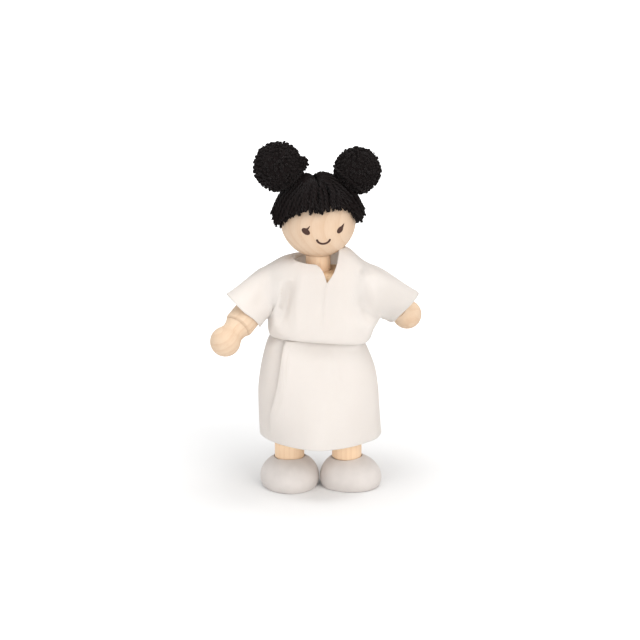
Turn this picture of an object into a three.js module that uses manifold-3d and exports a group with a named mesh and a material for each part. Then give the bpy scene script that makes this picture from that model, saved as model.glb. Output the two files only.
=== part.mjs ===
// A dollhouse figure of wood, yarn and thin cotton, standing on its two feet.
// Millimetres, +Z up, the floor at z = 0, the body's axis at x = y = 0, the figure faces -Y.
// "Left" is the -X side, as a viewer in front of the figure sees it.

import * as THREE from 'three';
import { mergeVertices } from 'three/addons/utils/BufferGeometryUtils.js';
import Module from 'manifold-3d';

const wasm = await Module();
wasm.setup();

// Clearances
const GAP = 0.3;                    // between touching pieces
const BALL_GAP = 0.3;               // between a ball end and its seat
const CORD_GAP = 0.35;              // round a cord in its bore

// Torso
const TORSO_BOTTOM = 50;
const TORSO_HEIGHT = 34.4;
const TORSO_DEPTH = 17;
const CHEST_HALF_WIDTH = 12.6;
const PELVIS_HALF_WIDTH = 14.6;
const TORSO_EDGE = 2;               // rounded edges
const TORSO_TOP = TORSO_BOTTOM + TORSO_HEIGHT;

// Head and neck
const HEAD_RADIUS = 14;
const NECK_RADIUS = 4.6;
const NECK_SHOWN = 4.9;             // from the torso to the lowest point of the head
const NECK_IN_TORSO = 12;
const NECK_IN_HEAD = 7;
const FACE_TURN = 8.6;              // degrees, the face looks a little towards +X
const HEAD_Z = TORSO_TOP + NECK_SHOWN + HEAD_RADIUS;

// Hair
const YARN_THICKNESS = 3.1;
const FRINGE_BACK = -3;             // y of the plane where the fringe meets the hair halves
const HAIRLINE_AT_SIDES = -3.6;     // z from the head's centre
const HAIRLINE_SLOPE = 0.45;        // how fast the hairline drops towards the back
const PARTING_GAP = 0.4;
const BUNS = {
  left: { radius: 9.2, lean: 36, sink: 1.5, side: -1 },
  right: { radius: 8.8, lean: 39.2, sink: 3.1, side: 1 },
};
const TIE_THREAD = 0.55;            // radius of the thread round a bun's root
const TIE_HEIGHT = 1.3;             // above the hair that the bun sits on
const TUFT_RADIUS = 3.2;            // a stray tuft on the left bun
const TUFT_OFFSET = 6.6;

// Arms
const SHOULDER_OUT = 4;             // the shoulder's centre stands this far off the chest's side
const SHOULDER_BELOW_TOP = 5.4;
const ARM_LENGTH = 31;              // shoulder centre to hand centre
const UPPER_ARM_LENGTH = 11.6;      // shoulder centre to elbow centre
const UPPER_ARM_RADIUS = 4.7;
const SLOT_FROM = -2;               // degrees from the torso's side, the elastic's slot in the upper arm
const SLOT_TO = 104;
const FOREARM_RADIUS = 5.5;
const FOREARM_START = 1.5;          // below the elbow's centre
const HAND_REACH = 5.9;             // from the end of the forearm's dome to the hand's centre
const WRIST_RADIUS = 7;             // the forearm's dome
const WRIST_EDGE = 4.7;             // where the dome meets the rounded edge
const WRIST_ROUNDING = 1.4;
const HAND_RADIUS = 5.6;
const HAND_NECK_RADIUS = 4.25;
const HAND_NECK_OFFSET = 4.7;       // above the hand's centre
const HAND_FLARE_RADIUS = 4.85;
const HAND_NECK_BLEND = 8;          // degrees of the ball given up to the curve into its neck
const ARM_POSES = {
  left: { side: -1, swing: -48.5, raise: 34, sleeve: 16.6 },
  right: { side: 1, swing: 47.1, raise: 34.1, sleeve: 19.6 },
};

// Legs
const HIP_OUT = 10.9;
const HIP_DROP = 4;                 // the hip's centre below the torso
const KNEE_Z = 30;
const THIGH_RADIUS = 4.8;
const SHIN_RADIUS = 5.6;
const SHIN_START = 2.2;             // below the knee's centre
const HIP_MOUTH = 2.3;              // the thigh's wide bore that lets the hip cord lean

// Feet
const FOOT_HALF_WIDTH = 11.2;
const FOOT_TOE = 14.4;              // from the leg's axis to the tip of the toe
const FOOT_HEEL = 10;
const FOOT_HEIGHT = 12.2;
const FOOT_WIDEST_Z = 3;
const FOOT_SOLE_SHARE = 0.93;       // the sole is this much of the widest outline
const FOOT_EDGE_Z = 1;              // top of the tucked edge above the sole
const FOOT_EDGE_SHARE = 0.975;
const FOOT_FULLNESS = 2.5;          // exponent of the dome, 2 is an ellipse
const FOOT_CROWN_SHARE = 0.06;      // the dome's last ring
const ANKLE_SEAT_Z = 10.4;
const FEET = {
  left: { side: -1, turn: 8 },
  right: { side: 1, turn: 60 },
};

// Elastic cord
const CORD_RADIUS = 0.95;
const BORE_RADIUS = CORD_RADIUS + CORD_GAP;
const KNOT_RADIUS = 1.7;
const KNOT_POCKET = KNOT_RADIUS + CORD_GAP;
const KNOT_POCKET_DEPTH = 4;
const LEG_CORD_RISE = 12;           // how far the leg elastic rises into the torso

// Clothes
const CLOTH = 0.7;                  // cloth with its turned edges
const WAIST_ABOVE_TORSO = 8;        // the waist above the torso's lower end
const BLOUSE_ABOVE_TORSO = 6.6;     // the collar above the torso's top
const SKIRT_LENGTH = 37.1;
const WAISTBAND_HEIGHT = 4.4;
const WAISTBAND_THICKNESS = 1.1;
const ARMHOLE_RADIUS = 9.9;
const ARMHOLE_DROP = 0.8;           // below the shoulder's centre
const SLEEVE_HALF_HEIGHT = 9.5;     // at its mouth, along the slant
const SLEEVE_HALF_DEPTH = 8;
const SLEEVE_RISE = 2.4;            // the mouth's centre above the arm's axis
const SLEEVE_FOLD = 0.9;
const SLEEVE_ROWS = 6;
const FOLD_DEPTH = 1;               // the folds' depths are multiples of this
const FOLD_FADE = 0.25;             // share of a garment's height over which a fold starts or dies away
const SKIRT_SIDES = 48;
const BLOUSE_SIDES = 34;
const SLEEVE_SIDES = 22;

// Colours and finish
const WOOD = { color: 0xe8c9a0, roughness: 0.65 };
const PALE_WOOD = { color: 0xf0d8b4, roughness: 0.62 };
const PAINT = { color: 0xe8e2da, roughness: 0.6 };
const YARN = { color: 0x17110f, roughness: 0.95 };
const COTTON = { color: 0xf4ece1, roughness: 0.9 };
const ELASTIC = { color: 0xf2efe8, roughness: 0.85 };

const radians = THREE.MathUtils.degToRad;
const figure = new THREE.Group();

/** Adds a named mesh with its own material to a group. */
function piece(parent, name, geometry, finish) {
  const material = new THREE.MeshStandardMaterial({ ...finish, metalness: 0 });
  const mesh = new THREE.Mesh(geometry, material);
  mesh.name = name;
  parent.add(mesh);
  return mesh;
}

/** Closed geometry to a solid that can be joined and cut. */
function solid(geometry) {
  const bare = geometry.clone();
  bare.deleteAttribute('normal');
  bare.deleteAttribute('uv');
  const merged = mergeVertices(bare, 1e-4);
  const body = new wasm.Manifold(new wasm.Mesh({
    numProp: 3,
    vertProperties: new Float32Array(merged.attributes.position.array),
    triVerts: new Uint32Array(merged.index.array),
  }));
  if (body.volume() <= 0) {
    throw new Error(`a shape is empty or inside out: ${body.status()}`);
  }
  return body;
}

/** A solid back to geometry. */
function surface(body) {
  const mesh = body.getMesh();
  const geometry = new THREE.BufferGeometry();
  geometry.setAttribute('position', new THREE.BufferAttribute(mesh.vertProperties, 3));
  geometry.setIndex(new THREE.BufferAttribute(mesh.triVerts, 1));
  return geometry;
}

/** A first geometry with all the others cut from it. */
function cut(geometry, ...tools) {
  return surface(tools.reduce((rest, tool) => rest.subtract(solid(tool)), solid(geometry)));
}

/** A turned piece about Z, from [radius, z] points that start and end on the axis. */
function turned(points, sides = 16) {
  const profile = points.map(([radius, z]) => new THREE.Vector2(radius, z));
  return new THREE.LatheGeometry(profile, sides).rotateX(Math.PI / 2);
}

/** A cylinder along Z between two heights. */
function rod(radius, low, high, sides = 10) {
  return new THREE.CylinderGeometry(radius, radius, high - low, sides)
    .rotateX(Math.PI / 2)
    .translate(0, 0, (low + high) / 2);
}

/** A ball. */
function ball(radius, x = 0, y = 0, z = 0, sides = 16, rows = 10) {
  return new THREE.SphereGeometry(radius, sides, rows).rotateX(Math.PI / 2).translate(x, y, z);
}

/** Points of an arc for a turned profile: from one angle to another, degrees from the +radius axis. */
function arc(radius, centreZ, from, to, steps) {
  const points = [];
  for (let i = 0; i <= steps; i += 1) {
    const angle = radians(from + ((to - from) * i) / steps);
    points.push([Math.max(0, radius * Math.cos(angle)), centreZ + radius * Math.sin(angle)]);
  }
  return points;
}

// Torso: a block with rounded edges, bored for the neck, the elastics and the seats of the limbs
const shoulder = { x: CHEST_HALF_WIDTH + SHOULDER_OUT, z: TORSO_TOP - SHOULDER_BELOW_TOP };
const hip = { x: HIP_OUT, z: TORSO_BOTTOM - HIP_DROP };
const shoulderSeat = UPPER_ARM_RADIUS + BALL_GAP;
const hipSeat = THIGH_RADIUS + BALL_GAP;
const legCordTop = TORSO_BOTTOM + LEG_CORD_RISE;
const neckBottom = TORSO_TOP - NECK_IN_TORSO;

function torsoOutline() {
  const low = TORSO_BOTTOM + TORSO_EDGE;
  const high = TORSO_TOP - TORSO_EDGE;
  const pelvis = PELVIS_HALF_WIDTH - TORSO_EDGE;
  const chest = CHEST_HALF_WIDTH - TORSO_EDGE;
  const waist = TORSO_BOTTOM + TORSO_HEIGHT / 2;
  const outline = new THREE.Shape();
  outline.moveTo(-pelvis, low);
  outline.lineTo(pelvis, low);
  outline.lineTo(chest, waist);
  outline.lineTo(chest, high);
  outline.lineTo(-chest, high);
  outline.lineTo(-chest, waist);
  outline.closePath();
  return outline;
}

function torsoGeometry() {
  const body = new THREE.ExtrudeGeometry(torsoOutline(), {
    depth: TORSO_DEPTH - 2 * TORSO_EDGE,
    bevelThickness: TORSO_EDGE,
    bevelSize: TORSO_EDGE,
    bevelSegments: 3,
    steps: 1,
  });
  body.translate(0, 0, TORSO_EDGE - TORSO_DEPTH / 2).rotateX(Math.PI / 2);
  const past = 2 * CHEST_HALF_WIDTH;
  const tools = [
    rod(NECK_RADIUS + GAP, neckBottom - GAP, TORSO_TOP + past, 20),
    rod(BORE_RADIUS, -past, past).rotateY(Math.PI / 2).translate(0, 0, shoulder.z),
    rod(BORE_RADIUS, -past, past).rotateY(Math.PI / 2).translate(0, 0, legCordTop),
  ];
  for (const side of [-1, 1]) {
    tools.push(ball(shoulderSeat, side * shoulder.x, 0, shoulder.z));
    tools.push(ball(hipSeat, side * hip.x, 0, hip.z));
    tools.push(rod(BORE_RADIUS, TORSO_BOTTOM - past, legCordTop).translate(side * hip.x, 0, 0));
  }
  return cut(body, ...tools);
}

piece(figure, 'torso_block', torsoGeometry(), WOOD);

// Neck: a dowel through which the arm elastic passes
const neckTop = HEAD_Z - HEAD_RADIUS + NECK_IN_HEAD;
const neckBore = rod(BORE_RADIUS, -2 * NECK_RADIUS, 2 * NECK_RADIUS)
  .rotateY(Math.PI / 2)
  .translate(0, 0, shoulder.z);
piece(figure, 'neck_dowel', cut(rod(NECK_RADIUS, neckBottom, neckTop, 20), neckBore), PALE_WOOD);

// Elastics inside the torso: one straight between the arms, one that joins the legs
const armCordEnd = shoulder.x - shoulderSeat - GAP;
const armCord = rod(CORD_RADIUS, -armCordEnd, armCordEnd).rotateY(Math.PI / 2).translate(0, 0, shoulder.z);
piece(figure, 'arm_elastic', armCord, ELASTIC);

function legElasticGeometry() {
  const low = hip.z + hipSeat + GAP;
  const uprights = [-1, 1].map((side) => rod(CORD_RADIUS, low, legCordTop).translate(side * hip.x, 0, 0));
  const cross = rod(CORD_RADIUS, -hip.x, hip.x).rotateY(Math.PI / 2).translate(0, 0, legCordTop);
  const corners = [-1, 1].map((side) => ball(CORD_RADIUS, side * hip.x, 0, legCordTop, 10, 6));
  const parts = [...uprights, cross, ...corners].map(solid);
  return surface(parts.reduce((all, part) => all.add(part)));
}

piece(figure, 'leg_elastic', legElasticGeometry(), ELASTIC);

// Head: a ball bored from below, with its hair, turned a little to the side
const head = new THREE.Group();
head.position.z = HEAD_Z;
head.rotation.z = radians(FACE_TURN);
figure.add(head);

const hairOuter = HEAD_RADIUS + GAP + YARN_THICKNESS;
const neckHole = rod(NECK_RADIUS + GAP, -2 * HEAD_RADIUS, NECK_IN_HEAD + GAP - HEAD_RADIUS, 20);
piece(head, 'head_ball', cut(ball(HEAD_RADIUS, 0, 0, 0, 24, 16), neckHole), PALE_WOOD);

/** A box between two corners. */
function block(low, high) {
  const size = high.map((value, i) => value - low[i]);
  return new THREE.BoxGeometry(...size).translate(...low.map((value, i) => value + size[i] / 2));
}

const far = 3 * HEAD_RADIUS;

/** The thick shell of yarn round the head ball. */
function yarnShell() {
  const inner = ball(HEAD_RADIUS + GAP, 0, 0, 0, 24, 16);
  return solid(ball(hairOuter, 0, 0, 0, 24, 14)).subtract(solid(inner));
}

function hairHalf(side) {
  const inner = side * (PARTING_GAP / 2);
  const keep = side < 0
    ? block([-far, FRINGE_BACK + GAP, -far], [inner, far, far])
    : block([inner, FRINGE_BACK + GAP, -far], [far, far, far]);
  const below = block([-far, -far, -2 * far], [far, far, 0])
    .rotateX(-Math.atan(HAIRLINE_SLOPE))
    .translate(0, 0, HAIRLINE_AT_SIDES);
  return surface(yarnShell().intersect(solid(keep)).subtract(solid(below)));
}

// The fringe's lower edge, from the left temple to the right, [x, z] from the head's centre
const FRINGE_EDGE = [
  [-17, -3],
  [-15, -2.1],
  [-10.6, 2],
  [-6.3, 5],
  [0, 5.6],
  [10.2, 5.6],
  [12.3, 1.4],
  [17, 0.2],
];

function fringe() {
  const outline = new THREE.Shape();
  outline.moveTo(-far, -far);
  outline.lineTo(far, -far);
  outline.lineTo(far, FRINGE_EDGE.at(-1)[1]);
  for (const [x, z] of [...FRINGE_EDGE].reverse()) {
    outline.lineTo(x, z);
  }
  outline.lineTo(-far, FRINGE_EDGE[0][1]);
  outline.closePath();
  const below = new THREE.ExtrudeGeometry(outline, { depth: 2 * far, bevelEnabled: false })
    .rotateX(Math.PI / 2)
    .translate(0, far, 0);
  const front = block([-far, -far, -far], [far, FRINGE_BACK, far]);
  return surface(yarnShell().intersect(solid(front)).subtract(solid(below)));
}

piece(head, 'hair_left', hairHalf(-1), YARN);
piece(head, 'hair_right', hairHalf(1), YARN);
piece(head, 'hair_fringe', fringe(), YARN);

// Buns: pom-poms that sit on the hair, each tied round its root with thread
for (const [name, { radius, lean, sink, side }] of Object.entries(BUNS)) {
  const bun = new THREE.Group();
  bun.rotation.y = side * radians(lean);
  head.add(bun);
  const centre = hairOuter + radius - sink;
  const tieZ = hairOuter + GAP + TIE_HEIGHT;
  const tieRadius = Math.sqrt(radius ** 2 - (centre - tieZ) ** 2);
  const ring = (thread) => new THREE.TorusGeometry(tieRadius, thread, 5, 16).translate(0, 0, tieZ);
  let pompom = solid(ball(radius, 0, 0, centre, 16, 10));
  if (side < 0) {
    const [across, up] = [TUFT_OFFSET * Math.cos(radians(lean)), TUFT_OFFSET * Math.sin(radians(lean))];
    const place = [across, 0, centre + up];
    pompom = pompom.add(solid(ball(TUFT_RADIUS, ...place, 10, 6)));
  }
  const seat = ball(hairOuter + GAP, 0, 0, 0, 24, 14);
  pompom = pompom.subtract(solid(seat)).subtract(solid(ring(TIE_THREAD + GAP)));
  piece(bun, `bun_${name}`, surface(pompom), YARN);
  piece(bun, `bun_tie_${name}`, ring(TIE_THREAD), YARN);
}

// Arms, built hanging down from the shoulder's centre
const elbow = -UPPER_ARM_LENGTH;
const elbowSeat = UPPER_ARM_RADIUS + BALL_GAP;
const wristCentre = WRIST_RADIUS + HAND_REACH - ARM_LENGTH;
const handSeat = WRIST_RADIUS + BALL_GAP;

function upperArmGeometry() {
  const bead = turned([
    ...arc(UPPER_ARM_RADIUS, elbow, -90, 0, 4),
    ...arc(UPPER_ARM_RADIUS, 0, 0, 90, 4),
  ]);
  // a slot in the upper ball lets the elastic run to the torso however far the arm is raised
  const reach = 2 * UPPER_ARM_RADIUS;
  const fan = new THREE.Shape();
  fan.moveTo(-BORE_RADIUS, -BORE_RADIUS);
  fan.lineTo(reach * Math.cos(radians(SLOT_FROM)), reach * Math.sin(radians(SLOT_FROM)));
  fan.absarc(0, 0, reach, radians(SLOT_FROM), radians(SLOT_TO), false);
  fan.closePath();
  const across = { depth: 2 * BORE_RADIUS, bevelEnabled: false, curveSegments: 8 };
  const slot = new THREE.ExtrudeGeometry(fan, across)
    .translate(0, 0, -BORE_RADIUS)
    .rotateX(Math.PI / 2);
  return cut(bead, rod(BORE_RADIUS, 2 * elbow, BORE_RADIUS), slot);
}

function forearmGeometry() {
  const top = elbow - FOREARM_START;
  const edge = Math.asin(WRIST_EDGE / WRIST_RADIUS);
  const edgeZ = wristCentre - WRIST_RADIUS * Math.cos(edge);
  const dome = arc(WRIST_RADIUS, wristCentre, -90, THREE.MathUtils.radToDeg(edge) - 90, 4);
  const body = turned([
    ...dome,
    [(WRIST_EDGE + FOREARM_RADIUS) / 2 + GAP / 2, edgeZ + WRIST_ROUNDING / 3],
    [FOREARM_RADIUS, edgeZ + WRIST_ROUNDING],
    [FOREARM_RADIUS, top],
    [0, top],
  ]);
  return cut(body, ball(elbowSeat, 0, 0, elbow), rod(BORE_RADIUS, 2 * -ARM_LENGTH, top + BORE_RADIUS));
}

function handGeometry() {
  const neckZ = HAND_NECK_OFFSET - ARM_LENGTH;
  const flareZ = wristCentre - Math.sqrt(handSeat ** 2 - HAND_FLARE_RADIUS ** 2);
  const ballFrom = THREE.MathUtils.radToDeg(Math.acos(HAND_NECK_RADIUS / HAND_RADIUS));
  const body = turned([
    ...arc(HAND_RADIUS, -ARM_LENGTH, -90, ballFrom - HAND_NECK_BLEND, 6),
    [HAND_NECK_RADIUS, neckZ],
    [(HAND_NECK_RADIUS + HAND_FLARE_RADIUS) / 2, (neckZ + flareZ) / 2],
    [HAND_FLARE_RADIUS, flareZ],
    [HAND_FLARE_RADIUS, flareZ + WRIST_ROUNDING],
    [0, flareZ + WRIST_ROUNDING],
  ]);
  const seat = ball(handSeat, 0, 0, wristCentre);
  return cut(body, seat, rod(BORE_RADIUS, -ARM_LENGTH - CORD_GAP, 0));
}

for (const [name, { side, swing, raise }] of Object.entries(ARM_POSES)) {
  const joint = new THREE.Group();
  joint.position.set(side * shoulder.x, 0, shoulder.z);
  joint.rotation.x = radians(swing);
  figure.add(joint);
  const stub = rod(CORD_RADIUS, CORD_RADIUS, UPPER_ARM_RADIUS - GAP / 2).rotateY(-side * (Math.PI / 2));
  piece(joint, `shoulder_elastic_${name}`, stub, ELASTIC);
  const arm = new THREE.Group();
  arm.rotation.y = -side * radians(raise);
  joint.add(arm);
  const bead = side < 0 ? upperArmGeometry() : upperArmGeometry().rotateZ(Math.PI);
  const strandHigh = elbow - elbowSeat - GAP;
  piece(arm, `upper_arm_${name}`, bead, PALE_WOOD);
  piece(arm, `forearm_${name}`, forearmGeometry(), PALE_WOOD);
  piece(arm, `hand_${name}`, handGeometry(), PALE_WOOD);
  const upperCord = rod(CORD_RADIUS, elbow - UPPER_ARM_RADIUS + GAP, -2 * CORD_RADIUS);
  const middleCord = rod(CORD_RADIUS, wristCentre - WRIST_RADIUS + GAP, strandHigh);
  piece(arm, `upper_arm_elastic_${name}`, upperCord, ELASTIC);
  piece(arm, `forearm_elastic_${name}`, middleCord, ELASTIC);
  const handCord = rod(CORD_RADIUS, -ARM_LENGTH, wristCentre - handSeat - GAP);
  piece(arm, `hand_elastic_${name}`, handCord, ELASTIC);
}

// Legs, straight down from the hips
const kneeSeat = THIGH_RADIUS + BALL_GAP;
const shinTop = KNEE_Z - SHIN_START;
const ankleZ = ANKLE_SEAT_Z + GAP;

function thighGeometry() {
  const dowel = turned([
    ...arc(THIGH_RADIUS, KNEE_Z, -90, 0, 4),
    ...arc(THIGH_RADIUS, hip.z, 0, 90, 4),
  ]);
  return cut(dowel, rod(BORE_RADIUS, 0, hip.z), rod(HIP_MOUTH, hip.z - CORD_RADIUS, TORSO_TOP));
}

function shinGeometry() {
  const seat = ball(kneeSeat, 0, 0, KNEE_Z);
  return cut(rod(SHIN_RADIUS, ankleZ, shinTop, 16), seat, rod(BORE_RADIUS, 0, KNEE_Z));
}

/** The foot's outline at a share of its full size: an egg, blunt at the toe, about the leg's axis. */
function footRing(share, z, sides = 24) {
  const points = [];
  for (let i = 0; i < sides; i += 1) {
    const angle = (2 * Math.PI * i) / sides;
    const length = Math.sin(angle) < 0 ? FOOT_TOE : FOOT_HEEL;
    const [x, y] = [FOOT_HALF_WIDTH * Math.cos(angle), length * Math.sin(angle)];
    points.push(new THREE.Vector3(share * x, share * y, z));
  }
  return points;
}

/** A closed body over rings of points, the first and last rings capped from their middle. */
function stacked(rings) {
  const sides = rings[0].length;
  const positions = [];
  const index = [];
  rings.flat().forEach((point) => positions.push(point.x, point.y, point.z));
  for (let row = 0; row + 1 < rings.length; row += 1) {
    for (let i = 0; i < sides; i += 1) {
      const a = row * sides + i;
      const b = row * sides + ((i + 1) % sides);
      index.push(a, b, b + sides, a, b + sides, a + sides);
    }
  }
  for (const [row, turn] of [[0, -1], [rings.length - 1, 1]]) {
    const middle = new THREE.Vector3();
    rings[row].forEach((point) => middle.addScaledVector(point, 1 / sides));
    const hub = positions.length / 3;
    positions.push(middle.x, middle.y, middle.z);
    for (let i = 0; i < sides; i += 1) {
      const a = row * sides + i;
      const b = row * sides + ((i + 1) % sides);
      index.push(...(turn > 0 ? [hub, a, b] : [hub, b, a]));
    }
  }
  const geometry = new THREE.BufferGeometry();
  geometry.setAttribute('position', new THREE.BufferAttribute(new Float32Array(positions), 3));
  geometry.setIndex(index);
  return geometry;
}

function footGeometry() {
  const rings = [footRing(FOOT_SOLE_SHARE, 0), footRing(FOOT_EDGE_SHARE, FOOT_EDGE_Z)];
  const rows = 5;
  for (let row = 0; row < rows; row += 1) {
    const angle = (Math.PI / 2) * (row / rows);
    const share = Math.cos(angle) ** (2 / FOOT_FULLNESS);
    const rise = Math.sin(angle) ** (2 / FOOT_FULLNESS);
    rings.push(footRing(share, FOOT_WIDEST_Z + (FOOT_HEIGHT - FOOT_WIDEST_Z) * rise));
  }
  rings.push(footRing(FOOT_CROWN_SHARE, FOOT_HEIGHT));
  return cut(
    stacked(rings),
    rod(SHIN_RADIUS + GAP, ANKLE_SEAT_Z, 2 * FOOT_HEIGHT, 16),
    rod(BORE_RADIUS, -FOOT_HEIGHT, FOOT_HEIGHT),
    rod(KNOT_POCKET, -FOOT_HEIGHT, KNOT_POCKET_DEPTH),
  );
}

/** The cord through a foot, with the knot that holds it in the sole. */
function footCordGeometry() {
  const low = KNOT_POCKET_DEPTH - KNOT_RADIUS - GAP;
  const strand = solid(rod(CORD_RADIUS, low, ankleZ - GAP));
  return surface(strand.add(solid(ball(KNOT_RADIUS, 0, 0, low, 8, 6))));
}

for (const [name, { side, turn }] of Object.entries(FEET)) {
  const leg = new THREE.Group();
  leg.position.x = side * hip.x;
  figure.add(leg);
  const hipCord = rod(CORD_RADIUS, hip.z + GAP, hip.z + THIGH_RADIUS - GAP / 2);
  piece(leg, `hip_elastic_${name}`, hipCord, ELASTIC);
  piece(leg, `thigh_${name}`, thighGeometry(), WOOD);
  const thighCord = rod(CORD_RADIUS, KNEE_Z - THIGH_RADIUS + GAP, hip.z - GAP - CORD_RADIUS);
  piece(leg, `thigh_elastic_${name}`, thighCord, ELASTIC);
  piece(leg, `shin_${name}`, shinGeometry(), WOOD);
  piece(leg, `shin_elastic_${name}`, rod(CORD_RADIUS, ankleZ + GAP, KNEE_Z - kneeSeat - GAP), ELASTIC);
  const foot = piece(leg, `foot_${name}`, footGeometry(), PAINT);
  foot.rotation.z = radians(turn);
  piece(leg, `foot_elastic_${name}`, footCordGeometry(), ELASTIC);
}

// Clothes: thin closed shells over rings of points, with their main folds

/** A sheet of the given thickness, its outer face through rings of points that run edge to edge. */
function clothTube(rings, thickness = CLOTH) {
  const rows = rings.length;
  const sides = rings[0].length;
  const inner = rings.map((ring, row) => ring.map((point, i) => {
    const along = rings[Math.min(row + 1, rows - 1)][i].clone().sub(rings[Math.max(row - 1, 0)][i]);
    const around = ring[(i + 1) % sides].clone().sub(ring[(i + sides - 1) % sides]);
    const outwards = around.cross(along).normalize();
    return point.clone().addScaledVector(outwards, -thickness);
  }));
  const loop = [...rings, ...inner.reverse()];
  const positions = [];
  const index = [];
  loop.flat().forEach((point) => positions.push(point.x, point.y, point.z));
  for (let row = 0; row < loop.length; row += 1) {
    const next = (row + 1) % loop.length;
    for (let i = 0; i < sides; i += 1) {
      const j = (i + 1) % sides;
      const [a, b] = [row * sides + i, row * sides + j];
      const [c, d] = [next * sides + j, next * sides + i];
      index.push(a, b, c, a, c, d);
    }
  }
  const geometry = new THREE.BufferGeometry();
  geometry.setAttribute('position', new THREE.BufferAttribute(new Float32Array(positions), 3));
  geometry.setIndex(index);
  return geometry;
}

/** How far the folds push the cloth out at a share of the turn and a share of its height. */
function foldDepth(folds, turn, share) {
  return folds.reduce((sum, { at, spread, depth, from = -1, to = 2 }) => {
    const away = Math.abs(turn - at);
    const apart = Math.min(away, 1 - away);
    const started = THREE.MathUtils.smoothstep(share, from, from + FOLD_FADE);
    const ended = THREE.MathUtils.smoothstep(share, to, to + FOLD_FADE);
    return sum + FOLD_DEPTH * depth * Math.exp(-((apart / spread) ** 2)) * started * (1 - ended);
  }, 0);
}

/**
 * Rings of a garment round the torso. A station has its height, and its offset, half width and half depth
 * as shares of the chest's and the torso's. Turns run from +X through +Y.
 */
function garmentRings(stations, folds, sides) {
  return stations.map(({ z, x, width, depth, square, tilt = 0 }, row) => {
    const share = row / (stations.length - 1);
    const ring = [];
    for (let i = 0; i < sides; i += 1) {
      const turn = i / sides;
      const [c, s] = [Math.cos(2 * Math.PI * turn), Math.sin(2 * Math.PI * turn)];
      const across = Math.abs(c / (width * CHEST_HALF_WIDTH)) ** square;
      const deep = Math.abs(s / ((depth * TORSO_DEPTH) / 2)) ** square;
      const radius = (across + deep) ** (-1 / square) + foldDepth(folds, turn, share);
      ring.push(new THREE.Vector3(x * CHEST_HALF_WIDTH + radius * c, radius * s, z + tilt * radius * c));
    }
    return ring;
  });
}

const waistZ = TORSO_BOTTOM + WAIST_ABOVE_TORSO;
const armholeZ = shoulder.z - ARMHOLE_DROP;
const waistHalf = CHEST_HALF_WIDTH + (PELVIS_HALF_WIDTH - CHEST_HALF_WIDTH) / 2;

/** A torso-shaped upright ring, rounded at its corners. */
function bandShape(grow) {
  const [w, d, r] = [waistHalf + grow, TORSO_DEPTH / 2 + grow, TORSO_EDGE + grow];
  const shape = new THREE.Shape();
  shape.moveTo(w - r, -d);
  shape.absarc(w - r, r - d, r, -Math.PI / 2, 0, false);
  shape.absarc(w - r, d - r, r, 0, Math.PI / 2, false);
  shape.absarc(r - w, d - r, r, Math.PI / 2, Math.PI, false);
  shape.absarc(r - w, r - d, r, Math.PI, 1.5 * Math.PI, false);
  shape.closePath();
  return shape;
}

function waistbandGeometry() {
  const seat = 2 * GAP;
  const shape = bandShape(seat + WAISTBAND_THICKNESS);
  shape.holes.push(bandShape(seat));
  return new THREE.ExtrudeGeometry(shape, { depth: WAISTBAND_HEIGHT, bevelEnabled: false, curveSegments: 4 })
    .translate(0, 0, waistZ - WAISTBAND_HEIGHT / 2);
}

piece(figure, 'waistband', waistbandGeometry(), COTTON);

const bandHalfWidth = waistHalf + 2 * GAP + WAISTBAND_THICKNESS;
const bandHalfDepth = TORSO_DEPTH / 2 + 2 * GAP + WAISTBAND_THICKNESS;
// where the skirt and the blouse meet the waistband, as shares
const waistWidth = (bandHalfWidth + GAP + CLOTH) / CHEST_HALF_WIDTH;
const waistDepth = (2 * (bandHalfDepth + GAP + CLOTH)) / TORSO_DEPTH;

/** Stations with their heights worked out from a first height and a length. */
function placed(stations, from, length) {
  return stations.map(({ up, ...rest }) => ({ z: from + up * length, ...rest }));
}

// Skirt: gathered at the waist, nearly straight below, one edge lapped over at the front left
const SKIRT_STATIONS = placed([
  { up: 0, x: 0, width: waistWidth, depth: waistDepth, square: 7 },
  { up: -0.067, x: 0, width: 1.46, depth: 1.55, square: 3.6 },
  { up: -0.194, x: 0, width: 1.635, depth: 1.86, square: 2.6 },
  { up: -0.342, x: 0, width: 1.738, depth: 2.08, square: 2.3 },
  { up: -0.504, x: 0.008, width: 1.778, depth: 2.25, square: 2.2 },
  { up: -0.666, x: 0.024, width: 1.794, depth: 2.36, square: 2.2 },
  { up: -0.841, x: 0.048, width: 1.817, depth: 2.46, square: 2.2 },
  { up: -1, x: 0.071, width: 1.825, depth: 2.49, square: 2.2 },
], waistZ - GAP, SKIRT_LENGTH);
const SKIRT_FOLDS = [
  { at: 0.6, spread: 0.022, depth: -1.5, from: 0.02 },
  { at: 0.632, spread: 0.02, depth: 0.8, from: 0.02 },
  { at: 0.83, spread: 0.024, depth: -0.8, from: 0.05, to: 0.45 },
  { at: 0.73, spread: 0.04, depth: 0.5, from: 0.3 },
  { at: 0.42, spread: 0.025, depth: -1.1, from: 0.2 },
  { at: 0.33, spread: 0.03, depth: 0.7, from: 0.3 },
  { at: 0.23, spread: 0.025, depth: -0.9, from: 0.15 },
  { at: 0.11, spread: 0.03, depth: -0.8, from: 0.25 },
  { at: 0.94, spread: 0.03, depth: 0.5, from: 0.3 },
];
const skirtRings = garmentRings(SKIRT_STATIONS, SKIRT_FOLDS, SKIRT_SIDES).reverse();
piece(figure, 'skirt', clothTube(skirtRings), COTTON);

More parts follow.
